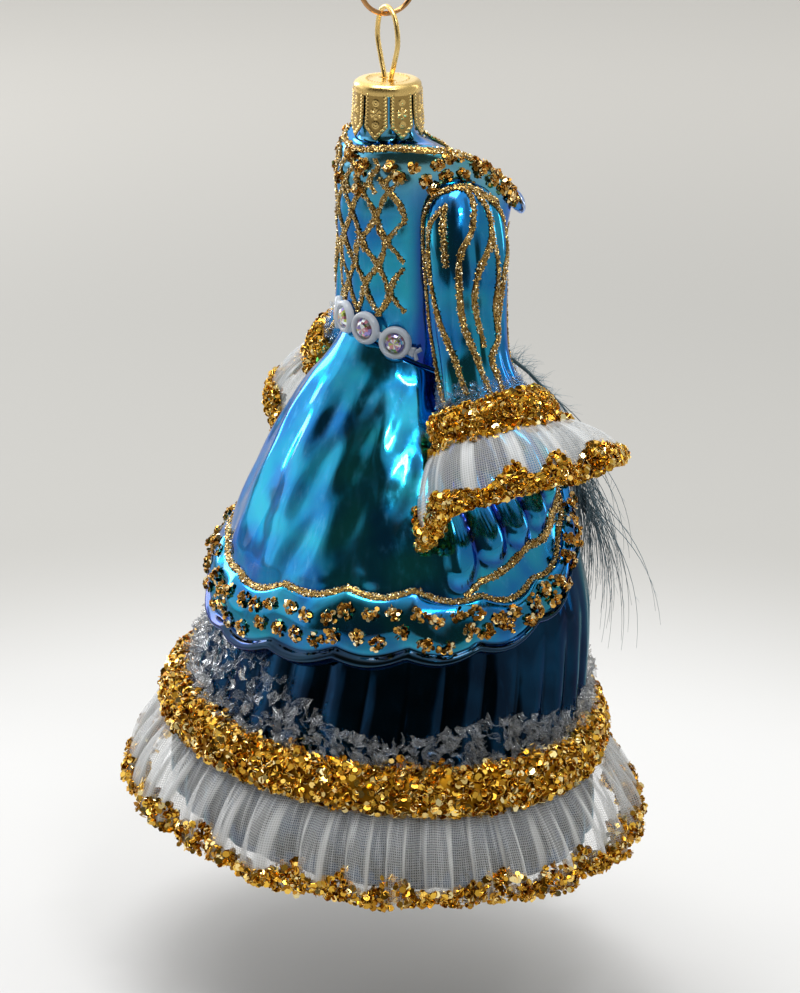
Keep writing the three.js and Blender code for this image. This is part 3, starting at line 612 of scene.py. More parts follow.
@dataclass(frozen=True)
class FoilGlitter(Finish):
    """Metallised film glitter: each flake is a small flat mirror of its own tone of gold."""

    name: str
    dark: int
    bright: int
    palest: int
    roughness: float = 0.24
    scuff_mm: float = 0.3

    def shade(self, m: Material) -> bpy.types.Node:
        """A gold from dark to bright by the flake's tint, palest over 0.7 of it, with scuffs."""
        tint = (add_node(m, "Attribute", {"attribute_name": "tint"}), "Fac")
        low = add_node(m, "MapRange", values={"From Max": 0.7}, links={"Value": tint})
        high = add_node(m, "MapRange", values={"From Min": 0.7}, links={"Value": tint})
        gold = add_node(m, "Mix", COLOURS, {MIX_A: linear(self.dark), MIX_B: linear(self.bright)}, {0: low})
        pale = add_node(m, "Mix", COLOURS, {MIX_B: linear(self.palest)}, {0: high, MIX_A: (gold, MIX_OUT)})
        place = (add_node(m, "TexCoord"), "Object")
        scuff = add_node(m, "TexNoise", values={"Scale": per_metre(self.scuff_mm)}, links={"Vector": place})
        worn = add_node(m, "Bump", values={"Strength": 0.25, "Distance": 0.03 * MM}, links={"Height": scuff})
        metal = {"Metallic": 1.0, "Roughness": self.roughness}
        reads = {"Base Color": (pale, MIX_OUT), "Normal": worn}
        return add_node(m, "BsdfPrincipled", values=metal, links=reads)


@dataclass(frozen=True)
class Organza(Finish):
    """Sheer plain-woven organza: stiff fine threads with open holes between them.

    It shows its weave over whatever is dark behind it, and turns milky along its creases and where a
    fold doubles it.
    """

    name: str = "organza_sheer_weave"
    thread: int = 0xE9EBEC
    pitch_mm: float = 0.44  # true organza has a thread each 0.25 mm; at that the weave would not show
    hole_cover: float = 0.08  # how much of a hole is blurred shut by the fuzz of its threads
    thread_cover: float = 0.34
    fold_cover: float = 0.6
    crease_mm: float = 1.1  # how far apart the gathering creases are

    def shade(self, m: Material) -> bpy.types.Node:
        """Threads as sin^2 of the cloth's two ways; their cover, creases and folds hide what is behind."""
        cloth = add_node(m, "UVMap", {"uv_map": "cloth"})
        split = add_node(m, "SeparateXYZ", links={"Vector": cloth})
        waves = []
        for axis in ("X", "Y"):
            turns = {1: np.pi * per_metre(self.pitch_mm)}
            phase = add_node(m, "Math", {"operation": "MULTIPLY"}, turns, {0: (split, axis)})
            sine = add_node(m, "Math", {"operation": "SINE"}, links={0: phase})
            waves.append(add_node(m, "Math", {"operation": "MULTIPLY"}, links={0: sine, 1: sine}))
        thread = add_node(m, "Math", {"operation": "MAXIMUM"}, links={0: waves[0], 1: waves[1]})
        share = {"From Min": 0.45, "From Max": 0.95, "To Min": self.hole_cover, "To Max": self.thread_cover}
        woven = add_node(m, "MapRange", SOFT, share, {"Value": thread})
        long = add_node(m, "Mapping", values={"Scale": (1, 0.07, 1)}, links={"Vector": cloth})
        lines = {"Scale": per_metre(self.crease_mm), "Detail": 2.0, "Distortion": 0.4}
        crease = add_node(m, "TexNoise", values=lines, links={"Vector": long})
        milky = {"From Min": 0.5, "From Max": 0.72, "To Max": 0.22}
        creased = add_node(m, "MapRange", values=milky, links={"Value": crease})
        fold = (add_node(m, "Attribute", {"attribute_name": "fold"}), "Fac")
        more = {"operation": "MULTIPLY_ADD"}
        doubled = add_node(m, "Math", more, {1: self.fold_cover}, {0: fold, 2: creased})
        cover = add_node(m, "Math", {"operation": "ADD", "use_clamp": True}, links={0: woven, 1: doubled})
        height = {"Strength": 0.3, "Distance": 0.05 * MM}
        raised = add_node(m, "Bump", values=height, links={"Height": thread})
        fibre = {
            "Base Color": linear(self.thread), "Roughness": 0.45, "Sheen Weight": 0.4, "Sheen Roughness": 0.4
        }
        weave = add_node(m, "BsdfPrincipled", values=fibre, links={"Alpha": cover, "Normal": raised})
        glow = add_node(m, "BsdfTranslucent", values={"Color": linear(self.thread)}, links={"Normal": raised})
        hole = add_node(m, "BsdfTransparent")
        lit = add_node(m, "MixShader", links={0: cover, 1: hole, 2: glow})
        return add_node(m, "MixShader", values={0: 0.35}, links={1: weave, 2: lit})


@dataclass(frozen=True)
class SheetMetal(Finish):
    """Thin brass-plated metal, stamped or drawn, with fine draw lines, and painted shade in its recesses and
    holes.
    """

    name: str
    plate: int
    recess_shade: int
    roughness: float = 0.2
    line_mm: float = 0.25

    def shade(self, m: Material) -> bpy.types.Node:
        """The plate's tone, and painted recess shade by the mesh's groove marks, with a fine noise in the
        gloss and the relief.
        """
        place = (add_node(m, "TexCoord"), "Object")
        groove = (add_node(m, "Attribute", {"attribute_name": "groove"}), "Fac")
        ends = {MIX_A: linear(self.plate), MIX_B: linear(self.recess_shade)}
        tone = add_node(m, "Mix", COLOURS, ends, {0: groove})
        fine = {"Scale": per_metre(self.line_mm), "Detail": 4.0}
        lines = add_node(m, "TexNoise", values=fine, links={"Vector": place})
        least, most = self.roughness * 0.7, self.roughness * 1.5
        gloss = {"From Min": 0.3, "From Max": 0.7, "To Min": least, "To Max": most}
        rough = add_node(m, "MapRange", values=gloss, links={"Value": lines})
        worn = add_node(m, "Bump", values={"Strength": 0.2, "Distance": 0.02 * MM}, links={"Height": lines})
        reads = {"Base Color": (tone, MIX_OUT), "Roughness": rough, "Normal": worn}
        return add_node(m, "BsdfPrincipled", values={"Metallic": 1.0}, links=reads)


@dataclass(frozen=True)
class ClearGlass(Finish):
    """Crushed clear glass: splinters of thin blown bubbles.

    A splinter is clear where it is seen face on; towards its edges its white body shows as a painted
    highlight, standing for the glass's reflections there.
    """

    name: str
    body: int
    cover: float = 0.12
    # painted highlight: the white body's cover at the grazing edges
    rim_highlight_cover: float = 0.75
    haze_mm: float = 0.8

    def shade(self, m: Material) -> bpy.types.Node:
        """Glass with a slight haze, whose white cover grows towards its grazing edges as a painted highlight.
        """
        place = (add_node(m, "TexCoord"), "Object")
        haze = add_node(m, "TexNoise", values={"Scale": per_metre(self.haze_mm)}, links={"Vector": place})
        rough = add_node(m, "MapRange", values={"To Min": 0.0, "To Max": 0.06}, links={"Value": haze})
        edge_on = (add_node(m, "LayerWeight", values={"Blend": 0.5}), "Facing")
        share = {"From Min": 0.35, "From Max": 0.95, "To Min": self.cover, "To Max": self.rim_highlight_cover}
        rim = add_node(m, "MapRange", values=share, links={"Value": edge_on})
        return add_node(
            m,
            "BsdfPrincipled",
            values={
                "Base Color": linear(self.body),
                "IOR": 1.5,
                "Transmission Weight": 0.75,
                "Specular IOR Level": 0.9,
            },
            links={"Roughness": rough, "Alpha": rim},
        )


@dataclass(frozen=True)
class FrostedPlastic(Finish):
    """Moulded frosted acrylic: milky, a little see-through, with a satin surface."""

    name: str = "frosted_acrylic_moulded"
    body: int = 0xE2EDFF
    milk: int = 0xF2F6FA
    grain_mm: float = 0.35

    def shade(self, m: Material) -> bpy.types.Node:
        """A milky body with a satin grain."""
        place = (add_node(m, "TexCoord"), "Object")
        frost = add_node(m, "TexNoise", values={"Scale": per_metre(self.grain_mm)}, links={"Vector": place})
        tone = add_node(m, "Mix", COLOURS, {MIX_A: linear(self.body), MIX_B: linear(self.milk)}, {0: frost})
        satin = add_node(m, "Bump", values={"Strength": 0.25, "Distance": 0.04 * MM}, links={"Height": frost})
        acrylic = {"Roughness": 0.38, "IOR": 1.49, "Transmission Weight": 0.42, "Coat Weight": 0.3}
        reads = {"Base Color": (tone, MIX_OUT), "Normal": satin}
        return add_node(m, "BsdfPrincipled", values=acrylic, links=reads)


@dataclass(frozen=True)
class FoiledStone(Finish):
    """Cut glass with a foil back and a rainbow coat: each facet flashes its own colour."""

    name: str = "foiled_cut_glass"
    tones: tuple[int, int, int, int] = (0xE9F3F2, 0xD98FA0, 0xB9C65E, 0x8C7FC2)

    def shade(self, m: Material) -> bpy.types.Node:
        """One tone for each quarter of the facet's tint."""
        tint = (add_node(m, "Attribute", {"attribute_name": "tint"}), "Fac")
        below: dict[str | int, Source] = {}
        for low, tone in zip((0.25, 0.5, 0.75), self.tones[1:]):
            edge = {"From Min": low, "From Max": low + 0.04}
            step = add_node(m, "MapRange", values=edge, links={"Value": tint})
            ends = {MIX_A: linear(self.tones[0]), MIX_B: linear(tone)}
            below = {MIX_A: (add_node(m, "Mix", COLOURS, ends, {0: step, **below}), MIX_OUT)}
        foil = {"Metallic": 0.85, "Roughness": 0.06, "Coat Weight": 1.0, "Coat Roughness": 0.02}
        return add_node(m, "BsdfPrincipled", values=foil, links={"Base Color": below[MIX_A]})


@dataclass(frozen=True)
class DyedFeather(Finish):
    """Dyed ostrich or marabou barbs: fine dull strands with a soft sheen."""

    name: str = "feather_dyed_teal"
    dark: int = 0x153A44
    light: int = 0x3F7C94

    def shade(self, m: Material) -> bpy.types.Node:
        """Each strand has its own tone, by its tint."""
        tint = (add_node(m, "Attribute", {"attribute_name": "tint"}), "Fac")
        tone = add_node(m, "Mix", COLOURS, {MIX_A: linear(self.dark), MIX_B: linear(self.light)}, {0: tint})
        barb = {"Roughness": 0.6, "Sheen Weight": 0.3}
        return add_node(m, "BsdfPrincipled", values=barb, links={"Base Color": (tone, MIX_OUT)})


@dataclass(frozen=True)
class PaperFloor(Finish):
    """A pale paper ground with painted light: a painted pool of lamp light in the middle, a greyer ring round
    it, and a little paler again further out.
    """

    name: str = "paper_ground_painted_light"
    # the painted pool of light in the middle
    near: int = 0xD3D3D3
    # each ring of painted light and shade: where it begins and is full, in metres from the middle
    rings: tuple[tuple[float, float, int], ...] = ((0.13, 0.27, 0xB2B1AE), (0.42, 0.8, 0xCCCAC6))

    def shade(self, m: Material) -> bpy.types.Node:
        """Painted light and shade in rings by the distance from the middle."""
        place = (add_node(m, "TexCoord"), "Object")
        flat = add_node(m, "Mapping", values={"Scale": (1, 1, 0)}, links={"Vector": place})
        reach = (add_node(m, "VectorMath", {"operation": "LENGTH"}, links={0: flat}), "Value")
        below: dict[str | int, Source] = {}
        for low, high, tone in self.rings:
            share = add_node(m, "MapRange", SOFT, {"From Min": low, "From Max": high}, {"Value": reach})
            ends = {MIX_A: linear(self.near), MIX_B: linear(tone)}
            below = {MIX_A: (add_node(m, "Mix", COLOURS, ends, {0: share, **below}), MIX_OUT)}
        paper = {"Roughness": 0.9, "Specular IOR Level": 0.1}
        return add_node(m, "BsdfPrincipled", values=paper, links={"Base Color": below[MIX_A]})


# 0x0A2C96 darkens the grooves and seams: partly pooled lacquer, partly painted shade
BLUE_GLASS = MirrorGlass(
    "mirror_glass_blue_lacquer", 0x0A78C2, 0x24AECA, 0x0A2C96, 0xA4D0DC, smoothest=0.07, dullest=0.22
)
NAVY_GLASS = MirrorGlass(
    "mirror_glass_navy_lacquer",
    0x051E36,
    0x0A3656,
    # darkens the flutes' valleys: painted shade
    0x020812,
    0x1B4468,
    coat=0.12,
    streak_tone=0x0E3E62,
    edge_tone=0x86B8C8,
)
LILAC_GLASS = MirrorGlass("mirror_glass_lilac_lacquer", 0xA4B8E4, 0xBFD0F0, 0x3B5590, 0xB9C8E6)
GOLD_FLAKES = FoilGlitter("hexagon_film_glitter_gold", 0x98651A, 0xF0C04A, 0xFFF0B8, roughness=0.17)
BLOSSOM_FLAKES = FoilGlitter("small_film_glitter_old_gold", 0x7E5218, 0xE0AC50, 0xFFF0C0, roughness=0.2)
GOLD_DUST = FoilGlitter("fine_film_glitter_gold", 0x8C6C38, 0xEAC97C, 0xFFFAE4, roughness=0.24, scuff_mm=0.2)
GOLD_GLUE = FoilGlitter("glue_bed_gold", 0x5A3A0A, 0xA87618, 0xD9AA45, roughness=0.5)
# the second tone is the painted shade in the cap's recesses and leg holes
CAP_BRASS = SheetMetal("brass_plate_stamped", 0xF2D084, 0x74561C, roughness=0.24)
RING_WIRE = SheetMetal("copper_gold_wire_drawn", 0xC08F5C, 0x5E3F20, roughness=0.18, line_mm=0.5)
CRUSHED_GLASS = ClearGlass("crushed_clear_glass", 0xF4F7FA)
FROST_CRYSTALS = ClearGlass("crushed_pale_blue_glass", 0xCFE4FF)


# ---- The glass robe's form ----


@dataclass(frozen=True)
class RobeForm:
    """Where the glass robe's surfaces run: its waist, bodice, skirt and right sleeve."""

    cap_top: float = -21.5
    hem_drop: float = 130.4
    waist: tuple[float, float, float] = (44.3, 51.4, 53.0)  # drops of the waist seam at back, side, front
    # level from the waist (0) to the glass's lower edge (1), half width, half depth, forward
    skirt_rows: tuple[tuple[float, ...], ...] = (
        (0.0, 12.6, 13.5, 6.4),
        (0.05, 14.9, 15.9, 6.2),
        (0.12, 19.4, 19.8, 5.8),
        (0.23, 26.4, 24.2, 5.2),
        (0.37, 34.2, 29.0, 5.0),
        (0.51, 40.0, 32.3, 4.2),
        (0.62, 42.4, 33.5, 3.0),
        (0.74, 45.6, 34.8, 0.6),
        (0.87, 49.8, 36.8, -1.6),
        (1.0, 51.2, 37.8, -1.6),
    )
    # drops at back, side and front, half width, half depth, forward; row 5 is the neckline
    bodice_rows: tuple[tuple[float, ...], ...] = (
        (1.3, 1.3, 1.3, 5.0, 5.0, 0.0),
        (6.0, 6.0, 6.0, 5.0, 5.0, 0.0),
        (9.9, 9.9, 10.2, 5.1, 5.2, 0.1),
        (10.6, 10.5, 14.0, 8.2, 8.8, 3.0),
        (11.0, 10.9, 20.6, 11.6, 12.9, 6.7),
        (11.4, 11.6, 21.8, 13.2, 14.7, 7.5),
        (13.2, 13.4, 23.4, 14.1, 15.5, 7.5),
        (18.0, 18.0, 26.5, 14.1, 15.5, 7.2),
        (26.0, 27.0, 32.0, 13.6, 14.9, 6.6),
        (35.0, 39.5, 42.0, 12.9, 13.9, 6.5),
        (41.5, 47.8, 49.5, 12.5, 13.5, 6.4),
        (44.3, 51.4, 53.0, 12.6, 13.5, 6.4),
    )
    # out, forward and drop of the centre line, half thickness across the arm, half breadth fore and aft
    sleeve_rows: tuple[tuple[float, ...], ...] = (
        (12.2, 7.4, 17.2, 0.8, 1.2),
        (13.2, 7.4, 18.4, 3.6, 4.6),
        (15.0, 7.3, 21.0, 5.0, 6.4),
        (17.0, 7.0, 25.5, 5.6, 7.1),
        (18.8, 6.6, 32.5, 5.8, 7.0),
        (19.9, 6.4, 40.0, 5.5, 6.6),
        (21.6, 6.5, 47.0, 5.4, 6.4),
        (23.8, 7.1, 52.6, 6.0, 7.6),
        (26.4, 8.6, 57.8, 7.2, 9.6),
    )
    cuff_lean: float = 0.2  # how much of the arm's forward lean the cuff's own plane takes up
    cuff_index: float = 8.0
    petticoat_inset: float = 1.4

    @staticmethod
    def round_drop(back: Array, side: Array, front: Array, turn: Array) -> Array:
        """A drop that is back at the back, side at the sides and front in front, by powers of cos(turn)."""
        c = np.cos(turn)
        return (back + front) / 2 + (back - front) / 2 * c + (side - (back + front) / 2) * (1 - c * c)

    def waist_drop(self, turn: Array) -> Array:
        """The waist seam's drop at a turn."""
        return self.round_drop(*self.waist, turn)

    def on_oval(self, wide: Array, deep: Array, forward: Array, drop: Array, turn: Array) -> Array:
        """Points on level ovals: x = -wide sin(turn), y = deep cos(turn) - forward, z = cap_top - drop."""
        x, y, z = same_shape(-wide * np.sin(turn), deep * np.cos(turn) - forward, self.cap_top - drop)
        return np.stack([x, y, z], -1)

    def bodice(self, turn: Array, index: Array) -> Array:
        """The bodice's plain outside, by turn and by row of its table."""
        rows = np.array(self.bodice_rows)
        read = [read_rows(np.arange(len(rows)), rows[:, k], index) for k in range(6)]
        return self.on_oval(*read[3:], self.round_drop(*read[:3], turn), turn)

    def skirt(self, turn: Array, level: Array) -> Array:
        """The skirt's plain outside, by turn and level."""
        rows = np.array(self.skirt_rows)
        read = [read_rows(rows[:, 0], rows[:, k], level) for k in (1, 2, 3)]
        return self.on_oval(*read, lerp(self.waist_drop(turn), self.hem_drop, level), turn)

    def skirt_level(self, turn: Array, drop: Array) -> Array:
        """The level at which a drop lies."""
        waist = self.waist_drop(turn)
        return (drop - waist) / (self.hem_drop - waist)

    def skirt_out(self, turn: Array, drop: Array, out: Array | float) -> Array:
        """Points a distance out from the skirt's plain outside."""
        level = self.skirt_level(turn, drop)
        return self.skirt(turn, level) + normal_of(self.skirt, turn, level) * np.asarray(out)[..., None]

    def on_petticoat(self, turn: Array, drop: Array, out: Array | float) -> Array:
        """Points a distance out from the petticoat's ridges."""
        return self.skirt_out(turn, drop, np.asarray(out) - self.petticoat_inset)

    def sleeve_read(self, column: int, index: Array) -> Array:
        """One column of the sleeve's table."""
        rows = np.array(self.sleeve_rows)
        return read_rows(np.arange(len(rows)), rows[:, column], index)

    def sleeve_centre(self, index: Array) -> Array:
        """The right sleeve's centre line."""
        out, forward, drop = (self.sleeve_read(k, index) for k in range(3))
        return np.stack([-out, -forward, self.cap_top - drop], -1)

    def sleeve_axes(self, index: Array) -> tuple[Array, Array, Array]:
        """The right sleeve's own axes: along it, outwards across it, and forward.

        Args:
            index: The row of the sleeve's table.

        Returns:
            Three directions at right angles to each other.
        """
        low, high = np.maximum(index - 0.05, 0), np.minimum(index + 0.05, self.cuff_index)
        along = self.sleeve_centre(high) - self.sleeve_centre(low)
        along[..., 1] *= lerp(1.0, self.cuff_lean, smooth(self.cuff_index - 2, self.cuff_index, index))
        along = unit(along)
        ahead = np.broadcast_to([0.0, -1.0, 0.0], along.shape)
        forward = unit(ahead - along * np.sum(ahead * along, -1, keepdims=True))
        outward = np.cross(forward, along)
        outward = np.where(outward[..., :1] > 0, -outward, outward)
        return along, outward, forward

    def sleeve(self, angle: Array, index: Array, out: Array | float = 0.0) -> Array:
        """The right sleeve's skin: centre + outward * thick * cos(angle) + forward * broad * sin(angle).

        Args:
            angle: The angle round the arm, from its outer side.
            index: The row of the sleeve's table.
            out: How far the points are off the skin.

        Returns:
            The points.
        """
        angle, index = same_shape(angle, index)
        _, outward, forward = self.sleeve_axes(index)
        thick = (self.sleeve_read(3, index) + out) * np.cos(angle)
        broad = (self.sleeve_read(4, index) + out) * np.sin(angle)
        return self.sleeve_centre(index) + outward * thick[..., None] + forward * broad[..., None]

    def cuff(self, angle: Array, along: Array, out: Array | float) -> Array:
        """Points off the sleeve's skin near the cuff: along is the way past its edge, out the way off it.

        Args:
            angle: The angle round the arm, from its outer side.
            along: How far past the sleeve's end.
            out: How far off its skin.

        Returns:
            The points.
        """
        angle, along = same_shape(angle, along)
        end = np.full(angle.shape, self.cuff_index)
        last_step = np.linalg.norm(self.sleeve_centre(end) - self.sleeve_centre(end - 1), axis=-1)
        index = self.cuff_index + np.minimum(0, along) / last_step
        skin = self.sleeve(angle, index, out)
        return skin + self.sleeve_axes(end)[0] * np.maximum(0, along)[..., None]


FORM = RobeForm()


# ---- Glitter lines and blossoms ----


@dataclass(frozen=True)
class GlitterPen:
    """Fine glitter drawn on the glass with a glue pen: a low bead of glue, covered in grains."""

    half_width: float = 0.6
    height: float = 0.34
    grain_radius: float = 0.2
    grains_per_mm: float = 15.0
    places_per_mm: float = 1.6
    spill: float = 1.15  # how far the grains lie across the bead, as a share of its half width
    blossom_radius: float = 1.2
    blossom_flakes: int = 25
    flake_radius: float = 0.44

    def line(
        self, surface: Surface, points: Sequence[Sequence[float]], rng: Rng, width: float = 1.0
    ) -> Shape:
        """Draws one line on a surface.

        Args:
            surface: The glass's outside by its two parameters.
            points: A few places that the line passes, in those parameters.
            rng: The source of the randomness.
            width: How wide the line is, as a share of the pen's own width.

        Returns:
            The bead of glue and its grains.
        """
        rough_path = smooth_path(points, 60)
        length = np.linalg.norm(np.diff(surface(*rough_path.T), axis=0), axis=1).sum()
        count = max(8, int(length * self.places_per_mm))
        uv = smooth_path(points, count).T
        path = surface(*uv)
        normal = normal_of(surface, *uv)
        side = unit(np.cross(normal, np.gradient(path, axis=0)))
        ends = np.sin(np.clip(np.linspace(0, np.pi, count), 0.25, np.pi - 0.25)) ** 0.25
        number = np.arange(count)
        wobble = 1 + 0.16 * np.sin(number * 1.3 + rng.random() * TURN) * np.cos(number * 0.41)
        half = self.half_width * width * ends * wobble
        bead = sweep(path, side, half, self.height * ends, 8).marked(tint=0.1)
        grains = int(length * self.grains_per_mm * width)
        at = rng.random(grains) * (count - 1)
        low = np.minimum(at.astype(int), count - 2)
        t = (at - low)[:, None]
        across = rng.uniform(-self.spill, self.spill, grains)
        lift = np.sqrt(np.clip(1 - (across / self.spill) ** 2, 0, 1)) * self.height + 0.04
        middle = lerp(path[low], path[low + 1], t)
        place = middle + side[low] * (across * half[low])[:, None] + normal[low] * lift[:, None]
        size = self.grain_radius * rng.uniform(0.7, 1.3, grains)
        return joined([bead, scatter(grain(0.45), place, normal[low], size, 0.9, rng)])

    def blossoms(self, surface: Surface, centres: Array, rng: Rng, size: float = 1.0) -> Shape:
        """Small clusters of hexagon flakes, heaped on dots of glue.

        Args:
            surface: The glass's outside by its two parameters.
            centres: The dots' places in those parameters, one row each.
            rng: The source of the randomness.
            size: Their size, as a share of the pen's own blossom.

        Returns:
            All the flakes.
        """
        at = surface(*centres.T)
        normal = normal_of(surface, *centres.T)
        east = unit(np.cross(normal, [0.0, 0.0, 1.0]))
        north = np.cross(normal, east)
        flakes = self.blossom_flakes
        angle = rng.random((len(at), flakes)) * TURN
        share = rng.random((len(at), flakes)) ** 0.62
        reach = share * self.blossom_radius * size
        heap = 0.15 + 0.85 * (1 - share**2)
        place = (
            at[:, None]
            + east[:, None] * (reach * np.cos(angle))[..., None]
            + north[:, None] * (reach * np.sin(angle))[..., None]
            + normal[:, None] * heap[..., None]
        )
        normals = np.repeat(normal, flakes, 0)
        radii = self.flake_radius * rng.uniform(0.8, 1.2, len(at) * flakes)
        return scatter(hexagon_flake(0.12), place.reshape(-1, 3), normals, radii, 0.7, rng)


PEN = GlitterPen()


# ---- Ring, loop and cap ----


@dataclass
class Hanger:
    """The hanging ring and the spring-wire loop that it passes through."""

    ring_radius: float = 5.2
    wire: float = 0.45
    loop_half_width: float = 4.2
    leg_spread: float = 3.25
    waist_half: float = 1.35
    gap: float = 0.32  # between the ring and the top of the loop

    def ring(self) -> Piece:
        """A ring of round wire in the YZ plane: r cos(angle), r sin(angle), with its top near z = 0."""
        angle, r = round_angles(160), self.ring_radius
        path = np.stack([0 * angle, r * np.cos(angle), self.wire - r + r * np.sin(angle)], -1)
        shape = sweep(path, np.array([1.0, 0.0, 0.0]), self.wire, self.wire, 20, closed=True)
        return seat(make_piece("hanging_ring", shape, RING_WIRE.build()), "ring_metal", "ring")

    def loop(self, brass: Material) -> Piece:
        """A hairpin of wire in the XZ plane: a smooth curve through its feet, waist, sides and top.

        Args:
            brass: The brass plate.

        Returns:
            The piece.
        """
        top = 2 * (self.wire - self.ring_radius) + self.wire + self.gap
        height = top - FORM.cap_top
        half = [
            (self.leg_spread, FORM.cap_top - 8.6),
            (self.leg_spread * 0.8, FORM.cap_top - 4.6),
            (self.waist_half, FORM.cap_top - 0.3),
            (self.loop_half_width * 0.62, FORM.cap_top + height * 0.22),
            (self.loop_half_width, FORM.cap_top + height * 0.55),
            (self.loop_half_width * 0.72, FORM.cap_top + height * 0.88),
        ]
        points = [(-x, 0, z) for x, z in half] + [(0, 0, top)] + [(x, 0, z) for x, z in reversed(half)]
        path = smooth_path(points, 150)
        shape = sweep(path, np.array([0.0, 1.0, 0.0]), self.wire, self.wire, 16)
        return seat(make_piece("wire_loop", shape, brass), "cap_metal", "loop")


@dataclass
class CrownCap:
    """The stamped cap: a domed disc with a rolled rim and eight pointed, embossed tabs."""

    radius: float = 6.0
    rim_drop: float = 2.0
    tabs: int = 8
    tab_drop: float = 9.8
    point_drop: float = 2.4
    flare: float = 0.4
    sheet: float = 0.3
    bead_pitch: float = 0.62
    bead_ring: tuple[float, int] = (3.75, 40)  # the crown's ring of beads: its radius and their number
    leg_hole: tuple[float, float] = (1.45, 0.6)  # each hole's distance from the axis and its radius
    crown_columns: int = 180

    def crown(self) -> Shape:
        """The disc: a profile of radius and height turned round the axis, with beads and two leg holes, each
        a dip darkened by painted shade.
        """
        r = self.radius
        top = [(0.01, -0.1), (1.2, -0.1), (2.9, -0.12), (3.7, 0.02), (4.5, 0.0)]
        rim = [(r - 0.75, -0.12), (r - 0.15, -0.6), (r, -1.2), (r, -self.rim_drop)]
        profile = smooth_path(top + rim, 80)
        radius, angle = table(profile[:, 0], round_angles(self.crown_columns))
        at, number = self.bead_ring
        beads = 0.16 * bump(radius, at, 0.16) * np.clip(np.cos(angle * number), 0, 1)
        x, y = -radius * np.sin(angle), radius * np.cos(angle)
        out, hole_radius = self.leg_hole
        hole = smooth(hole_radius + 0.25, hole_radius, np.hypot(np.abs(x) - out, y))
        z = profile[:, 1:] + beads - 0.5 * hole + FORM.cap_top
        # painted shade darkens the dipped leg holes
        shape = grid(np.stack([x, y, z], -1), round_closed=True).marked(groove=hole)
        return fan(shape, np.arange(self.crown_columns)[::-1], np.array([0, 0, FORM.cap_top - 0.1]))

    def emboss(self, across: Array, down: Array, width: float, length: Array) -> Array:
        """The stamp's relief on a tab: a bead row inside its edge, two rings and a six-armed star.

        Args:
            across: The way across the tab from its middle, in millimetres.
            down: The way down it.
            width: The tab's half width.
            length: Its length at that place across it.

        Returns:
            The height of the relief.
        """
        edge = np.minimum(width - np.abs(across), (length - down) * 0.72)
        row = bump(edge, 0.42, 0.2) * (0.5 + 0.5 * np.cos(down * TURN / self.bead_pitch))
        relief = 0.25 * row
        for centre in (1.5, 5.4):
            reach = np.hypot(across, down - centre)
            relief = relief + 0.2 * bump(reach, 0.0, 0.22) + 0.1 * bump(reach, 0.48, 0.12)
        reach = np.hypot(across, down - 3.4)
        arms = np.abs(np.cos(3 * np.arctan2(across, down - 3.4))) ** 3
        return relief + 0.22 * arms * smooth(1.15, 0.75, reach) + 0.12 * bump(reach, 0.0, 0.25)

    def tab(self, heading: float) -> Shape:
        """One tab: a plate that hangs from the rim and ends in a point, at its heading round the axis.

        Args:
            heading: Where round the axis it hangs.

        Returns:
            Its outer skin.
        """
        down, across = table(np.linspace(0, 1, 78), np.linspace(1, -1, 42))
        half = 0.455 * TURN / self.tabs
        top = self.rim_drop - 0.35
        length = self.tab_drop - self.point_drop * np.abs(across) - top
        width = half * self.radius
        relief = self.emboss(across * width, down * length, width, length)
        curl = 0.12 * (1 - smooth(0, 0.1, 1 - np.abs(across)))
        radius = self.radius + self.flare * down**2 + relief - curl
        angle = heading + across * half
        height = FORM.cap_top - top - down * length
        points = np.stack([radius * np.cos(angle), radius * np.sin(angle), height], -1)
        # painted shade on the tab's flat ground round the raised stamping
        recess_shade = smooth(0.05, 0.0, relief) * 0.6
        return grid(points[:, ::-1]).marked(groove=recess_shade[:, ::-1])

    def build(self, brass: Material) -> Piece:
        """Makes the cap."""
        parts = [self.crown()] + [self.tab(k / self.tabs * TURN) for k in range(self.tabs)]
        return seat_shell("crown_cap", joined(parts), brass, self.sheet, "cap_metal", "cap")


# ---- Bodice ----


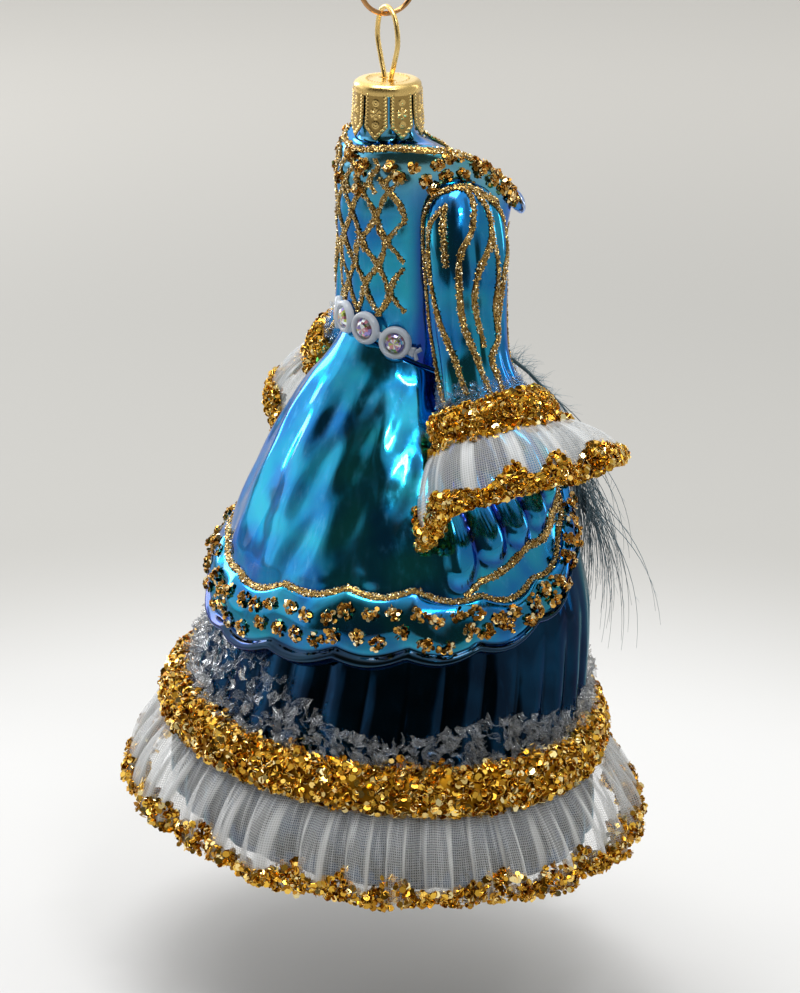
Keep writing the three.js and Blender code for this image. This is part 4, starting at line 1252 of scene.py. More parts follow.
@dataclass
class Bodice:
    """The glass bodice with its neck, pale yoke, laced back and front, and the bow at the neckline."""

    wall: float = 0.8
    rows: int = 120
    columns: int = 260
    cell_turn: float = np.radians(22)
    cell_drop: float = 9.0
    puff: float = 0.5
    back_reach: float = np.radians(55)
    bow_drop: float = 24.2
    neckline: float = 5.0  # the form's row that the neckline follows
    lacing: tuple[float, float] = (15.5, 41.0)  # the drops of its top and its foot
    # each of the bow's balls: its place across, half sizes and lean
    bow_balls: tuple[tuple[float, tuple[float, float, float], float], ...] = (
        (-3.0, (3.0, 2.2, 1.0), -0.3),
        (3.0, (3.0, 2.2, 1.0), 0.3),
        (0.0, (1.2, 1.2, 1.25), 0.0),
    )
    # the blossoms under the neckline on the right, as degrees of turn and row of the form
    blossom_places: tuple[tuple[float, float], ...] = (
        (50, 6.7), (43, 6.3), (59, 6.3), (67, 6.8), (73, 7.0), (74, 6.1), (82, 5.6), (92, 6.4),
        (80, 6.6), (97, 6.8), (105, 6.0), (115, 6.2), (121, 5.6), (127, 6.3), (133, 5.7), (139, 6.4),
        (146, 5.8), (153, 6.4), (161, 5.9), (169, 6.3), (88, 5.4), (101, 5.5), (110, 5.4),
    )

    def lattice(self, turn: Array, drop: Array) -> tuple[Array, Array]:
        """The two families of lacing lines, at whole numbers: turn / cell plus and less drop / cell."""
        a, b = turn / self.cell_turn, drop / self.cell_drop
        return a + b, a - b

    def relief(self, turn: Array, index: Array) -> Array:
        """Puffed diamonds between the lacing: |sin(pi a) sin(pi b)|^0.6 inside the laced field."""
        drop = FORM.cap_top - FORM.bodice(turn, index)[..., 2]
        a, b = self.lattice(wrapped(turn), drop)
        laced = smooth(self.back_reach + 0.15, self.back_reach - 0.05, np.abs(wrapped(turn)))
        return self.puff * np.abs(np.sin(np.pi * a) * np.sin(np.pi * b)) ** 0.6 * laced * smooth(13, 16, drop)

    def skin(self, turn: Array, index: Array) -> Array:
        """The bodice's outside with its relief."""
        turn, index = same_shape(turn, index)
        out = normal_of(FORM.bodice, turn, index) * self.relief(turn, index)[..., None]
        return FORM.bodice(turn, index) + out

    @staticmethod
    def index_at(turn: Array, drop: Array) -> Array:
        """The table row at which a drop lies, read from sixty rows of the form."""
        rows = np.linspace(4.8, 11, 60)
        turn, drop = same_shape(turn, drop)
        drops = FORM.cap_top - FORM.bodice(turn[..., None], rows)[..., 2]
        return rows[np.argmin(np.abs(drops - drop[..., None]), -1)]

    def by_drop(self, turn: Array, drop: Array) -> Array:
        """The bodice's outside, by turn and drop, with the row found smoothly between its neighbours.

        Args:
            turn: The angle round the robe.
            drop: The drop.

        Returns:
            The points.
        """
        turn, drop = same_shape(turn, drop)
        index = self.index_at(turn, drop)
        for _ in range(3):
            here = FORM.cap_top - FORM.bodice(turn, index)[..., 2]
            rate = (FORM.cap_top - FORM.bodice(turn, index + 0.01)[..., 2] - here) / 0.01
            index = np.clip(index + (drop - here) / np.where(np.abs(rate) < 0.2, 0.2, rate), 4.5, 11)
        return self.skin(turn, index)

    def glass(self, blue: Material) -> Piece:
        """The bodice's wall."""
        index, turn = table(np.linspace(0, 11, self.rows), round_angles(self.columns))
        pale = 0.22 * smooth(5.2, 4.4, index) + 0.42 * bump(index, 6.2, 0.9)
        # painted shade: darker blue in a band under the arm, where the bodice meets the sleeve, and towards
        # the waist
        seam = bump(np.abs(wrapped(turn)), np.radians(68), 0.13) * smooth(6.5, 8, index)
        dark = 0.9 * seam + 0.3 * smooth(10.2, 11, index)
        shape = grid(self.skin(turn, index), round_closed=True).marked(tone=pale, groove=dark)
        return seat_shell("bodice_glass", shape, blue, self.wall, "lacquered_glass", "bodice")

    def lacing_lines(self) -> list[list[tuple[float, float]]]:
        """The lacing at the back, as (turn, drop) lines clipped to the field that they cross."""
        lines = []
        drops = np.linspace(*self.lacing, 45)
        for number in range(-8, 9):
            for slope in (-1, 1):
                by_hand = 0.035 * np.sin(0.7 * drops + number)
                turns = self.cell_turn * (number + slope * drops / self.cell_drop) + by_hand
                where = np.flatnonzero(np.abs(turns) <= self.back_reach + 0.01)
                if len(where) > 6:
                    keep = where[np.linspace(0, len(where) - 1, 9).astype(int)]
                    lines.append(list(zip(turns[keep], drops[keep])))
        return lines

    def glitter(self, dust: Material, flakes: Material, rng: Rng) -> None:
        """Draws the neckline, the lacing behind and in front, and the blossoms under the neckline.

        Args:
            dust: The fine glitter.
            flakes: The flakes of film.
            rng: The source of the randomness.
        """
        around = np.linspace(0, TURN, 40)
        neck = [(t, self.neckline + 0.12 * np.sin(7 * t)) for t in around]
        shapes = [PEN.line(self.skin, neck, rng, 1.25)]
        shapes += [PEN.line(self.by_drop, line, rng) for line in self.lacing_lines()]
        for turn in np.radians([-50, -38, -26, -15, -3, 8, 19, 31, 43]):
            start = 12.0 + rng.random()
            wavy = [(turn + 0.06 * np.sin(k * 1.9), start + k * 1.5) for k in range(5)]
            shapes.append(PEN.line(self.by_drop, wavy, rng, 0.9))
        for turn in np.radians([130, 148, 164, 180, 196, 212, 230]):
            lean = np.sign(turn - np.pi)
            front = [(turn - lean * 0.05 * k, lerp(27.5, 50.0, k / 5)) for k in range(6)]
            shapes.append(PEN.line(self.by_drop, front, rng))
        seat_glitter("bodice_glitter_lines", joined(shapes), dust)
        degrees, rows = np.array(self.blossom_places).T
        degrees = np.r_[degrees, -degrees, rng.uniform(-48, 48, 12)]
        rows = np.r_[rows, rows, rng.uniform(5.5, 7.2, 12)]
        blossoms = PEN.blossoms(self.skin, np.stack([np.radians(degrees), rows], -1), rng, 0.95)
        seat_glitter("bodice_blossoms", blossoms, flakes)

    def bow(self) -> Piece:
        """A moulded bow: two swollen, creased lobes and a knot, each a stretched ball."""
        at = self.by_drop(np.array([np.pi]), np.array([self.bow_drop]))[0]
        polar, angle = table(np.linspace(0, np.pi, 34), round_angles(48))
        crease = 1 + 0.1 * np.cos(6 * angle) * np.sin(polar) ** 2
        outward = unit(np.array([0.0, -1.0, 0.25]))
        up = unit(np.cross(outward, [1.0, 0.0, 0.0]) * -1)
        parts = []
        for x, size, lean in self.bow_balls:
            local_x = size[0] * np.cos(polar)
            local_y = size[1] * np.sin(polar) * np.cos(angle) * crease
            local_z = size[2] * np.sin(polar) * np.sin(angle) * crease
            east = x + local_x * np.cos(lean) - local_y * np.sin(lean)
            north = local_x * np.sin(lean) + local_y * np.cos(lean)
            points = at + east[..., None] * np.array([1.0, 0, 0]) + north[..., None] * up
            points = points + (local_z + 0.9)[..., None] * outward
            parts.append(grid(points, round_closed=True))
        bow = make_piece("neckline_bow_glass", joined(parts), LILAC_GLASS.build())
        return seat(bow, "lacquered_glass", "neckline_bow")


# ---- Sleeves ----


@dataclass
class Sleeves:
    """The two elbow sleeves: swollen glass with long glitter lines and fine crystals over the cuff."""

    wall: float = 0.8
    rows: int = 90
    columns: int = 120
    lobes: int = 9
    lobe_depth: float = 0.34
    # each long line as (angle in degrees, row of the sleeve's table), from the shoulder down
    lines: tuple[tuple[tuple[float, float], ...], ...] = (
        ((-104, 2.0), (-110, 3.7), (-112, 4.8), (-108, 5.5), (-88, 6.8), (-70, 7.2)),
        ((-42, 2.0), (-66, 2.4), (-82, 2.8), (-90, 3.8), (-74, 4.7), (-51, 5.8), (-39, 6.9)),
        ((-44, 2.1), (-51, 2.6), (-52, 3.7)),
        (
            (-6, 1.4), (0, 2.0), (-10, 2.9), (-30, 3.5), (-33, 4.4),
            (-28, 5.1), (-16, 5.8), (-10, 6.6), (-8, 7.3),
        ),
        ((4, 1.4), (21, 2.4), (19, 3.1), (-6, 3.9), (-12, 4.4), (-4, 5.2), (-1, 5.6)),
        ((19, 2.9), (31, 3.8), (22, 4.5), (27, 5.4), (9, 5.9), (10, 6.6), (8, 7.2)),
        ((36, 1.9), (54, 2.4), (75, 2.9), (42, 4.0), (30, 5.2)),
        ((84, 2.2), (92, 3.4), (84, 5.0), (86, 6.4), (80, 7.3)),
        ((124, 2.4), (126, 3.6), (120, 5.2), (122, 6.4), (118, 7.3)),
    )
    arch: tuple[tuple[float, float], ...] = (
        (-104, 2.1), (-88, 1.6), (-73, 1.3), (-45, 1.25), (-15, 1.3),
        (12, 1.5), (27, 1.8), (60, 1.9), (95, 1.9), (120, 2.4),
    )
    crystal_count: int = 520
    crystal_angles: tuple[float, float] = (-128, 138)  # degrees
    row_step: float = 5.6  # millimetres between the last rows of the sleeve's table

    def relief(self, angle: Array, index: Array) -> Array:
        """Long shallow lobes: depth * |sin(lobes * angle / 2)| that fade out at both ends."""
        fade = smooth(1.0, 2.2, index) * smooth(7.6, 6.6, index)
        return self.lobe_depth * np.abs(np.sin(self.lobes * angle / 2 + 0.6)) ** 0.7 * fade

    def skin(self, angle: Array, index: Array) -> Array:
        """The right sleeve's outside with its relief."""
        angle, index = same_shape(angle, index)
        return FORM.sleeve(angle, index, self.relief(angle, index))

    def glass(self, side: Side, blue: Material) -> Piece:
        """One sleeve's wall, closed at the shoulder and open at the cuff.

        Args:
            side: Which of the two sides.
            blue: The blue glass.

        Returns:
            The piece.
        """
        index, angle = table(np.linspace(0, 8, self.rows), round_angles(self.columns))
        pale = 0.25 * smooth(6.4, 7.6, index)
        shape = grid(self.skin(angle, index), round_closed=True).marked(tone=pale)
        top = FORM.sleeve_centre(np.zeros(1))[0] + [0, 0, 0.2]
        shape = fan(shape, np.arange(self.columns), top).mirrored(side)
        node = f"sleeve_{side.word}"
        return seat_shell(f"{node}_glass", shape, blue, self.wall, "lacquered_glass", node)

    def glitter(self, side: Side, dust: Material, rng: Rng) -> Piece:
        """The sleeve's long lines, and the arch over its shoulder."""
        widths = [1.0] * len(self.lines) + [1.2]
        shapes = [
            PEN.line(self.skin, [(np.radians(a), i) for a, i in line], rng, width)
            for line, width in zip((*self.lines, self.arch), widths)
        ]
        return seat_glitter(f"sleeve_{side.word}_glitter_lines", joined(shapes).mirrored(side), dust)

    def crystals(self, side: Side, crushed: Material, rng: Rng) -> Piece:
        """Fine pale crystals sown on the sleeve just over the cuff's glitter.

        Args:
            side: Which of the two sides.
            crushed: The crushed glass.
            rng: The source of the randomness.

        Returns:
            The piece.
        """
        count = self.crystal_count
        angle = np.radians(rng.uniform(*self.crystal_angles, count))
        above = 5.0 + np.abs(rng.normal(0, 1.7, count))
        index = FORM.cuff_index - above / self.row_step
        normals = normal_of(self.skin, angle, index)
        size = rng.uniform(0.25, 0.55, count)
        centres = self.skin(angle, index) + normals * rng.uniform(0.05, 0.5, count)[:, None]
        shape = scatter(shard(0.35, 0.14), centres, normals, size, 1.2, rng).mirrored(side)
        piece = make_piece(f"sleeve_{side.word}_crystals", shape, crushed, flat_faced=True)
        return seat(piece, "frosted_plastic")


# ---- Overskirt and petticoat ----


@dataclass
class Overskirt:
    """The overskirt: open in front, folded behind, swagged on the hips, with a rolled border."""

    wall: float = 0.8
    rows: int = 130
    upper_rows: int = 58  # of those, the ones over the border
    columns: int = 372
    edge_top: float = 0.475
    edge_hem: float = 0.43
    scallops: int = 15
    scallop_depth: float = 1.4
    gap: float = 0.32
    hem_shares: tuple[float, ...] = (0.0, 0.2, 0.35, 0.5, 0.6, 0.7, 0.82, 0.92, 1.0)
    hem_drops: tuple[float, ...] = (100.6, 98, 96.2, 94.8, 93, 90, 83.8, 77, 70)
    border_shares: tuple[float, ...] = (0.0, 0.2, 0.35, 0.45, 0.55, 0.65, 0.75, 1.0)
    border_widths: tuple[float, ...] = (11.3, 12.3, 11.8, 10.5, 8.4, 7.2, 6.6, 6.2)
    # the soft folds behind: where each lies as a share of a turn, its width and its height
    folds: tuple[tuple[float, float, float], ...] = (
        (0.03, 0.018, 0.75),
        (0.085, 0.016, 0.45),
        (0.135, 0.022, 0.8),
        (0.19, 0.018, 0.4),
        (0.24, 0.016, 0.5),
    )
    swag_shares: tuple[float, ...] = (0.19, 0.2155, 0.234, 0.27, 0.32, 0.36, 0.4, 0.44)
    swag_lows: tuple[float, ...] = (85.0, 84.0, 81.8, 79.8, 77.7, 75.0, 71.5, 67.0)
    swag_top: float = 56.0
    swag_puff: float = 2.2
    pleats: int = 7
    tucked_in: float = -1.9  # how high the edges end over the plain form, where they turn under
    border_dots: int = 96

    def edge(self, down: Array) -> Array:
        """The front edge's share of a turn, at a share of the way down."""
        return lerp(self.edge_top, self.edge_hem, np.clip(down, 0, 2) ** 1.4)

    def hem(self, side: Array) -> Array:
        """The scalloped hem's drop: the table's curve, and scallops of |sin| of the way round."""
        wave = np.abs(np.sin(side * self.scallops * np.pi * 0.5 + 0.35))
        base = read_rows(np.array(self.hem_shares), np.array(self.hem_drops), np.abs(side))
        return base + self.scallop_depth * (wave - 0.5)

    def border_at(self, side: Array) -> Array:
        """The border's width: it narrows as it climbs to the front."""
        return read_rows(np.array(self.border_shares), np.array(self.border_widths), np.abs(side))

    def swag(self, share: Array, drop: Array) -> tuple[Array, Array]:
        """The hip swag's height and the painted shade in its grooves: pleats of |sin| across a field that
        narrows to the front.

        Args:
            share: The share of a whole turn from the back.
            drop: The drop.

        Returns:
            The height, and the painted shade in its grooves, from 0 to 1.
        """
        first, last = self.swag_shares[0], self.swag_shares[-1]
        across = (share - first) / (last - first)
        low = read_rows(np.array(self.swag_shares), np.array(self.swag_lows), share)
        down = (drop - self.swag_top) / (low - self.swag_top)
        wave = np.abs(np.sin((across - 0.12 * (down - 0.7)) * self.pleats * np.pi))
        down = down + 0.1 * (1 - wave**0.6)
        ends = smooth(0, 0.08, across) * (1 - smooth(0.98, 1.08, across))
        inside = ends * smooth(0, 0.5, down) * (1 - smooth(0.88, 1.02, down))
        inside = np.where((across < 0) | (across > 1.1) | (down < 0) | (down > 1.06), 0, inside)
        # painted shade in the pleats' hollows and along their lowest ends
        hollow_shade = np.maximum(smooth(0.42, 0.12, wave) * inside, 0.8 * bump(down, 0.98, 0.035) * ends)
        return self.swag_puff * (0.35 + 0.65 * wave**0.6) * inside, hollow_shade

    @staticmethod
    def rounded(x: Array, start: float, width: float) -> Array:
        """A quarter round: 1 up to start, then sqrt(1 - t^2) down to 0, where t = (x - start) / width."""
        return np.sqrt(1 - np.clip((x - start) / width, 0, 1) ** 2)

    def rise(self, turn: Array, drop: Array, hem: Array, side: Array) -> tuple[Array, Array]:
        """The outside's height over the plain form, and its painted shade: in the grooves, at the border and
        on the tucked edges.

        Args:
            turn: The angle round the robe.
            drop: The drop.
            hem: The hem's drop there.
            side: The share of the way from the back centre to the front edge, with its sign.

        Returns:
            The height, and the painted shade from 0 to 1.
        """
        share = np.abs(turn) / TURN
        folds = sum(
            height * (bump(share, at, width) + bump(-share, at, width)) for at, width, height in self.folds
        )
        border = self.border_at(side)
        top = hem - border
        body = smooth(48, 60, drop) * (1 - smooth(top - 4, top, drop))
        ripple = 0.13 * np.sin(turn * 23 + drop * 0.35) * np.sin(drop * 0.22 + turn * 7)
        q = (drop - top) / border
        ledge = smooth(-0.05, 0.05, q)
        lumps = 0.3 * np.sin(side * 34 + 1.1 * np.sin(q * 5)) + 0.22 * np.sin(side * 61 + 2)
        lumps = lumps * np.sin(np.clip(q, 0, 1) * np.pi)
        roll = ledge * (0.6 + 1.2 * np.sin(np.pi * np.clip(q / 0.8, 0, 1)) ** 0.8 + lumps)
        lip = 0.95 * np.sin(np.pi * np.clip((q - 0.78) / 0.26, 0, 1))
        height, groove = self.swag(share, drop)
        piping = 0.6 * bump(np.abs(side), 0.965, 0.014) * smooth(55, 60, drop)
        total = (folds + ripple * smooth(50, 60, drop)) * body + roll + lip + height + piping
        keep = self.rounded(q, 0.93, 0.075) * self.rounded(np.abs(side), 0.985, 0.0155)
        # painted shade: the grooves, a line under the border's lip and one over its top, and the tucked edges
        # at 0.8
        dark = np.clip(groove + 0.5 * bump(q, 0.79, 0.03) + 0.45 * bump(q, -0.07, 0.03), 0, 1)
        return lerp(self.tucked_in, total, keep), np.where(keep < 0.6, 0.8, dark)

    def place(self, side: Array, down: Array) -> tuple[Array, Array]:
        """The outside and its painted groove shade, by side (-1 to 1 between the front edges) and the share
        down.
        """
        side, down = same_shape(side, down)
        turn = side * self.edge(down) * TURN
        hem = self.hem(side)
        drop = lerp(FORM.waist_drop(turn) + self.gap, hem, down)
        height, groove = self.rise(turn, drop, hem, side)
        return FORM.skirt_out(turn, drop, height), groove

    def skin(self, side: Array, down: Array) -> Array:
        """The overskirt's outside."""
        return self.place(side, down)[0]

    def down_at(self, side: Array, drop: Array) -> Array:
        """The share down at which a drop lies, found by four turns of the same formula."""
        down = np.full(np.shape(side), 0.8)
        for _ in range(4):
            waist = FORM.waist_drop(side * self.edge(down) * TURN) + self.gap
            down = (drop - waist) / (self.hem(side) - waist)
        return down

    def glass(self, blue: Material) -> Piece:
        """The overskirt's wall.

        Args:
            blue: The blue glass.

        Returns:
            The piece.
        """
        upper = np.linspace(0, 0.72, self.upper_rows)
        lower = np.linspace(0.725, 1.0, self.rows - self.upper_rows)
        crowd = 1.45  # columns as sin(crowd * x), to crowd them towards the front edges
        across = np.sin(np.linspace(-1, 1, self.columns) * crowd) / np.sin(crowd)
        rows, columns = table(np.r_[upper, lower], across)
        points, groove = self.place(columns, rows)
        drops = FORM.cap_top - points[..., 2]
        q = 1 - (self.hem(columns) - drops) / self.border_at(columns)
        # painted shade over the rolled border, darkest on its lip, which faces down
        deep = 0.36 * smooth(0.0, 0.1, q) + 0.6 * smooth(0.7, 0.8, q)
        shape = grid(points).marked(groove=groove, deep=deep)
        return seat_shell("overskirt_glass", shape, blue, self.wall, "lacquered_glass", "overskirt")

    def glitter(self, dust: Material, flakes: Material, rng: Rng) -> None:
        """The line over the border, the swags' and front edges' lines, and the border's blossoms.

        Args:
            dust: The fine glitter.
            flakes: The flakes of film.
            rng: The source of the randomness.
        """
        sides = np.linspace(-0.96, 0.96, 61)
        top = self.down_at(sides, self.hem(sides) - self.border_at(sides) - 0.2)
        shapes = [PEN.line(self.skin, list(zip(sides, top)), rng, 1.15)]
        for sign in (-1, 1):
            share = np.array(self.swag_shares[1:])
            low = np.array(self.swag_lows[1:]) + 0.7
            side = sign * share / 0.45
            for _ in range(3):
                side = sign * share / self.edge(self.down_at(side, low))
            shapes.append(PEN.line(self.skin, list(zip(side, self.down_at(side, low))), rng, 1.2))
            drops = np.linspace(55, 72, 9)
            edge = np.full(9, sign * 0.962)
            shapes.append(PEN.line(self.skin, list(zip(edge, self.down_at(edge, drops))), rng))
        seat_glitter("overskirt_glitter_lines", joined(shapes), dust)
        count = self.border_dots
        side = np.linspace(-0.95, 0.95, count) + rng.uniform(-0.008, 0.008, count)
        row = np.where(np.arange(count) % 2, 0.26, 0.58) + rng.uniform(-0.1, 0.1, count)
        down = self.down_at(side, self.hem(side) - self.border_at(side) * (1 - row))
        blossoms = PEN.blossoms(self.skin, np.stack([side, down], -1), rng, 1.2)
        seat_glitter("border_blossoms", blossoms, flakes)


@dataclass
class Petticoat:
    """The fluted petticoat under the overskirt, with crushed glass sown over its hem."""

    wall: float = 0.9
    rows: int = 70
    flutes: int = 30
    columns_per_flute: int = 12
    flute_depth: float = 0.9
    crystals: int = 1900
    crystal_foot: float = 113.4  # the drop at which the crushed glass meets the glitter band

    def skin(self, turn: Array, level: Array) -> Array:
        """The petticoat's outside: the plain form, moved in by the inset and by flutes of |sin|."""
        turn, level = same_shape(turn, level)
        flute = np.abs(np.sin(turn * self.flutes / 2)) - 1
        out = self.flute_depth * smooth(0.42, 0.7, level) * flute - FORM.petticoat_inset
        return FORM.skirt(turn, level) + normal_of(FORM.skirt, turn, level) * out[..., None]

    def glass(self) -> Piece:
        """The petticoat's wall."""
        columns = self.flutes * self.columns_per_flute
        level, turn = table(np.linspace(0.004, 1.04, self.rows), round_angles(columns))
        # painted shade: near-black in the narrow valleys between the flutes
        valley_shade = smooth(0.3, 0.0, np.abs(np.sin(turn * self.flutes / 2))) * smooth(0.45, 0.7, level)
        shape = grid(self.skin(turn, level), round_closed=True).marked(groove=0.7 * valley_shade)
        return seat_shell("petticoat_glass", shape, NAVY_GLASS.build(), self.wall, "navy_glass", "petticoat")

    def crushed_glass(self, crushed: Material, rng: Rng) -> Piece:
        """Splinters over the glitter band: thick at its edge and thinner upwards, deeper at the back.

        Args:
            crushed: The crushed glass.
            rng: The source of the randomness.

        Returns:
            The piece.
        """
        turn = rng.random(self.crystals) * TURN
        reach = 6.5 + 9.5 * bump(wrapped(turn), -0.15, 0.55) + 1.5 * np.sin(turn * 5)
        drop = self.crystal_foot - reach * rng.random(self.crystals) ** 1.7
        level = FORM.skirt_level(turn, drop)
        normals = normal_of(self.skin, turn, level)
        size = rng.uniform(0.5, 1.3, self.crystals)
        centres = self.skin(turn, level) + normals * rng.uniform(0.1, 1.0, self.crystals)[:, None]
        shape = scatter(shard(0.6, 0.09), centres, normals, size, 1.1, rng)
        return seat(make_piece("crushed_glass_band", shape, crushed), "stone_glass")


# ---- Hem trim ----


def quad_area(points: Array) -> float:
    """The area of a grid's quads, each as half the cross product of its diagonals."""
    one = points[1:, 1:] - points[:-1, :-1]
    two = points[1:, :-1] - points[:-1, 1:]
    return float(np.linalg.norm(np.cross(one, two), axis=-1).sum() / 2)


def laid_flat(points: Array, row: int, ring: bool) -> tuple[Array, tuple[float, float]]:
    """Lays a frill's cloth out flat.

    Args:
        points: The frill's grid.
        row: The row whose length the flat cloth shows.
        ring: Whether the last column joins the first.

    Returns:
        Each grid point's place on the cloth in millimetres, and the cut strip's sides in metres.
    """
    closed = np.concatenate([points, points[:, :1]], 1) if ring else points
    along = np.cumsum(np.r_[0, np.linalg.norm(np.diff(closed[row], axis=0), axis=1)])
    fall = np.cumsum(np.r_[0, np.linalg.norm(np.diff(points, axis=0), axis=2).mean(1)])
    width = float(fall[-1]) * MM
    return np.stack(np.meshgrid(along, fall), -1), (width, quad_area(closed) * MM**2 / width)


def heap_flakes(
    centres: Array, normals: Array, lifts: Sequence[float], sizes: Sequence[float], tip: float, rng: Rng
) -> Shape:
    """Hexagon flakes, stuck at random heights over a surface.

    Args:
        centres: Places on the surface.
        normals: The surface's normal there, turned round where a flake is stuck to its other face.
        lifts: The least and the most height over the surface.
        sizes: The radius of a middling flake, and the shares of it that the least and the most have.
        tip: How far the flakes tip.
        rng: The source of the randomness.

    Returns:
        The flakes.
    """
    radius, least, most = sizes
    lift = rng.uniform(*lifts, len(centres))[:, None]
    size = radius * rng.uniform(least, most, len(centres))
    return scatter(hexagon_flake(0.12), centres + normals * lift, normals, size, tip, rng)


@dataclass
class HemTrim:
    """The gathered organza frill, its gold edge, and the glitter band over its gathers."""

    band_top: float = 112.8
    band_foot: float = 119.4
    tuck: float = 3.4
    hang: float = 17.7
    flare: float = 5.3
    wave: float = 2.3
    waves: int = 36
    overlap: float = 0.56  # how far the folds lean over their roots, in waves
    gap: float = 0.32
    cloth: float = 0.12
    band_flakes: int = 8800
    edge_flakes: int = 8000
    flake: float = 0.6
    # the band's section, as how far it stands out and how far down it is
    section: tuple[tuple[float, float], ...] = (
        (0.3, 0.0), (1.9, 0.25), (2.7, 1.9), (2.9, 3.6), (2.7, 5.4), (2.1, 6.5), (1.2, 6.7), (0.5, 6.4)
    )

    def phase(self, turn: Array) -> Array:
        """How far on the folds are at a turn: thirty-six of them, some wide and some narrow."""
        return self.waves * turn + np.sin(5 * turn) + 0.6 * np.sin(11 * turn + 2) + 0.35 * np.sin(17 * turn)

    def frill_skin(self, turn: Array, down: Array) -> Array:
        """The frill's middle surface by turn and the share of its height down.

        It springs out from under the band and falls: out = base + flare (1 - (1 - free)^2) + folds, where
        the folds are a skewed sine of the turn that grows from the gathers to the edge.

        Args:
            turn: The angle round the robe.
            down: The share of the frill's height.

        Returns:
            The points.
        """
        turn, down = same_shape(turn, down)
        free = np.clip((down * self.hang - self.tuck) / (self.hang - self.tuck), 0, 1.1)
        phase = self.phase(turn)
        size = self.wave * free**0.7 * (0.8 + 0.2 * np.sin(7 * turn + 1.3) * np.cos(4 * turn))
        turn = turn - self.overlap / self.waves * np.sin(2 * phase) * free**0.5
        ripple = size * np.sin(phase)
        fine = 0.3 * np.sin(3 * phase + 1.7 * np.sin(2 * turn))
        fine = fine * smooth(1.0, 0.25, free) * smooth(0.0, 0.08, free)
        spring = self.flare * (1 - (1 - free) ** 2) - 0.8 * free**4
        out = 1.6 * self.gap + 0.5 + spring + 0.6 * size + ripple + fine
        uneven = 0.9 * np.sin(3 * turn + 0.5) * np.sin(8 * turn) + 0.5 * np.sin(17 * turn)
        drop = self.band_foot - self.tuck + down * self.hang - 0.5 * ripple * free - 0.6 * uneven * free**2
        points = FORM.on_petticoat(turn, np.minimum(drop, FORM.hem_drop - 0.01), out)
        points[..., 2] = FORM.cap_top - drop
        return points

    def frill(self, organza: Material, flakes: Material, rng: Rng) -> None:
        """The frill as one sheet of cloth, and the flakes glued along its edge.

        Args:
            organza: The sheer cloth.
            flakes: The flakes of film.
            rng: The source of the randomness.
        """
        down, turn = table(np.linspace(0, 1, 30), round_angles(self.waves * 20))
        points = self.frill_skin(turn, down)
        cloth, strip = laid_flat(points, -6, ring=True)
        slant = self.phase(turn) + (0.7 + 0.6 * np.sin(3 * turn + 1)) * down
        walls = smooth(0.84, 0.985, np.abs(np.cos(slant))) * smooth(0.18, 0.45, down)
        some = 0.35 + 0.65 * np.abs(np.sin(self.phase(turn) * 0.27 + 1))
        shape = grid(points, round_closed=True, cloth=cloth).marked(fold=walls * some)
        frill = seat_shell("hem_frill_organza", shape, organza, self.cloth, "organza", "hem_frill", 0.0)
        count = self.edge_flakes
        at = rng.random(count) * TURN
        clump = 0.7 + 0.3 * np.sin(at * 23 + 2 * np.sin(at * 7))
        share = 1.03 - 0.33 * rng.random(count) ** 1.1 * clump
        under = np.where(rng.random(count) < 0.42, -1.0, 1.0)
        centres = self.frill_skin(at, share)
        normals = normal_of(self.frill_skin, at, share) * under[:, None]
        edge = heap_flakes(centres, normals, (0.12, 0.75), (self.flake, 0.75, 1.25), 0.8, rng)
        gold = seat_glitter("hem_frill_gold_edge", edge, flakes)
        log.info("hem frill: cut %.4f x %.4f m", *strip)

    def band_surface(self, turn: Array, share: Array) -> Array:
        """The band's section, carried round: a low cushion that stands proudest in its middle."""
        turn, share = same_shape(turn, share)
        profile = smooth_path(self.section, 60)
        where = np.linspace(0, 1, len(profile))
        out = np.interp(share, where, profile[:, 0])
        drop = self.band_top + np.interp(share, where, profile[:, 1])
        lumps = 0.3 * np.sin(turn * 31 + share * 6) * np.sin(turn * 13)
        return FORM.on_petticoat(turn, drop, out + lumps)

    def band(self, glue: Material, flakes: Material, rng: Rng) -> None:
        """The glue bed and the heaped flakes on it.

        Args:
            glue: The glue bed.
            flakes: The flakes of film.
            rng: The source of the randomness.
        """
        share, turn = table(np.linspace(0, 1, 22), round_angles(300))
        bed = grid(self.band_surface(turn, share), round_closed=True).marked(tint=0.5)
        seat_shell("hem_glitter_bed", bed, glue, 0.4, "glitter", "hem_band")
        count = self.band_flakes
        at, share = rng.random(count) * TURN, rng.uniform(0.01, 0.99, count)
        centres, normals = self.band_surface(at, share), normal_of(self.band_surface, at, share)
        stray = (rng.random(count) < 0.16)[:, None]
        climb = rng.random(count) ** 1.6 * (1.6 + 1.4 * np.sin(at * 19) * np.sin(at * 8))
        centres = np.where(stray, FORM.on_petticoat(at, self.band_top + 0.6 - climb, 0.5), centres)
        heap = heap_flakes(centres, normals, (0.02, 0.6), (self.flake, 0.75, 1.3), 0.85, rng)
        seat_glitter("hem_glitter_flakes", heap, flakes)


# ---- Cuffs ----


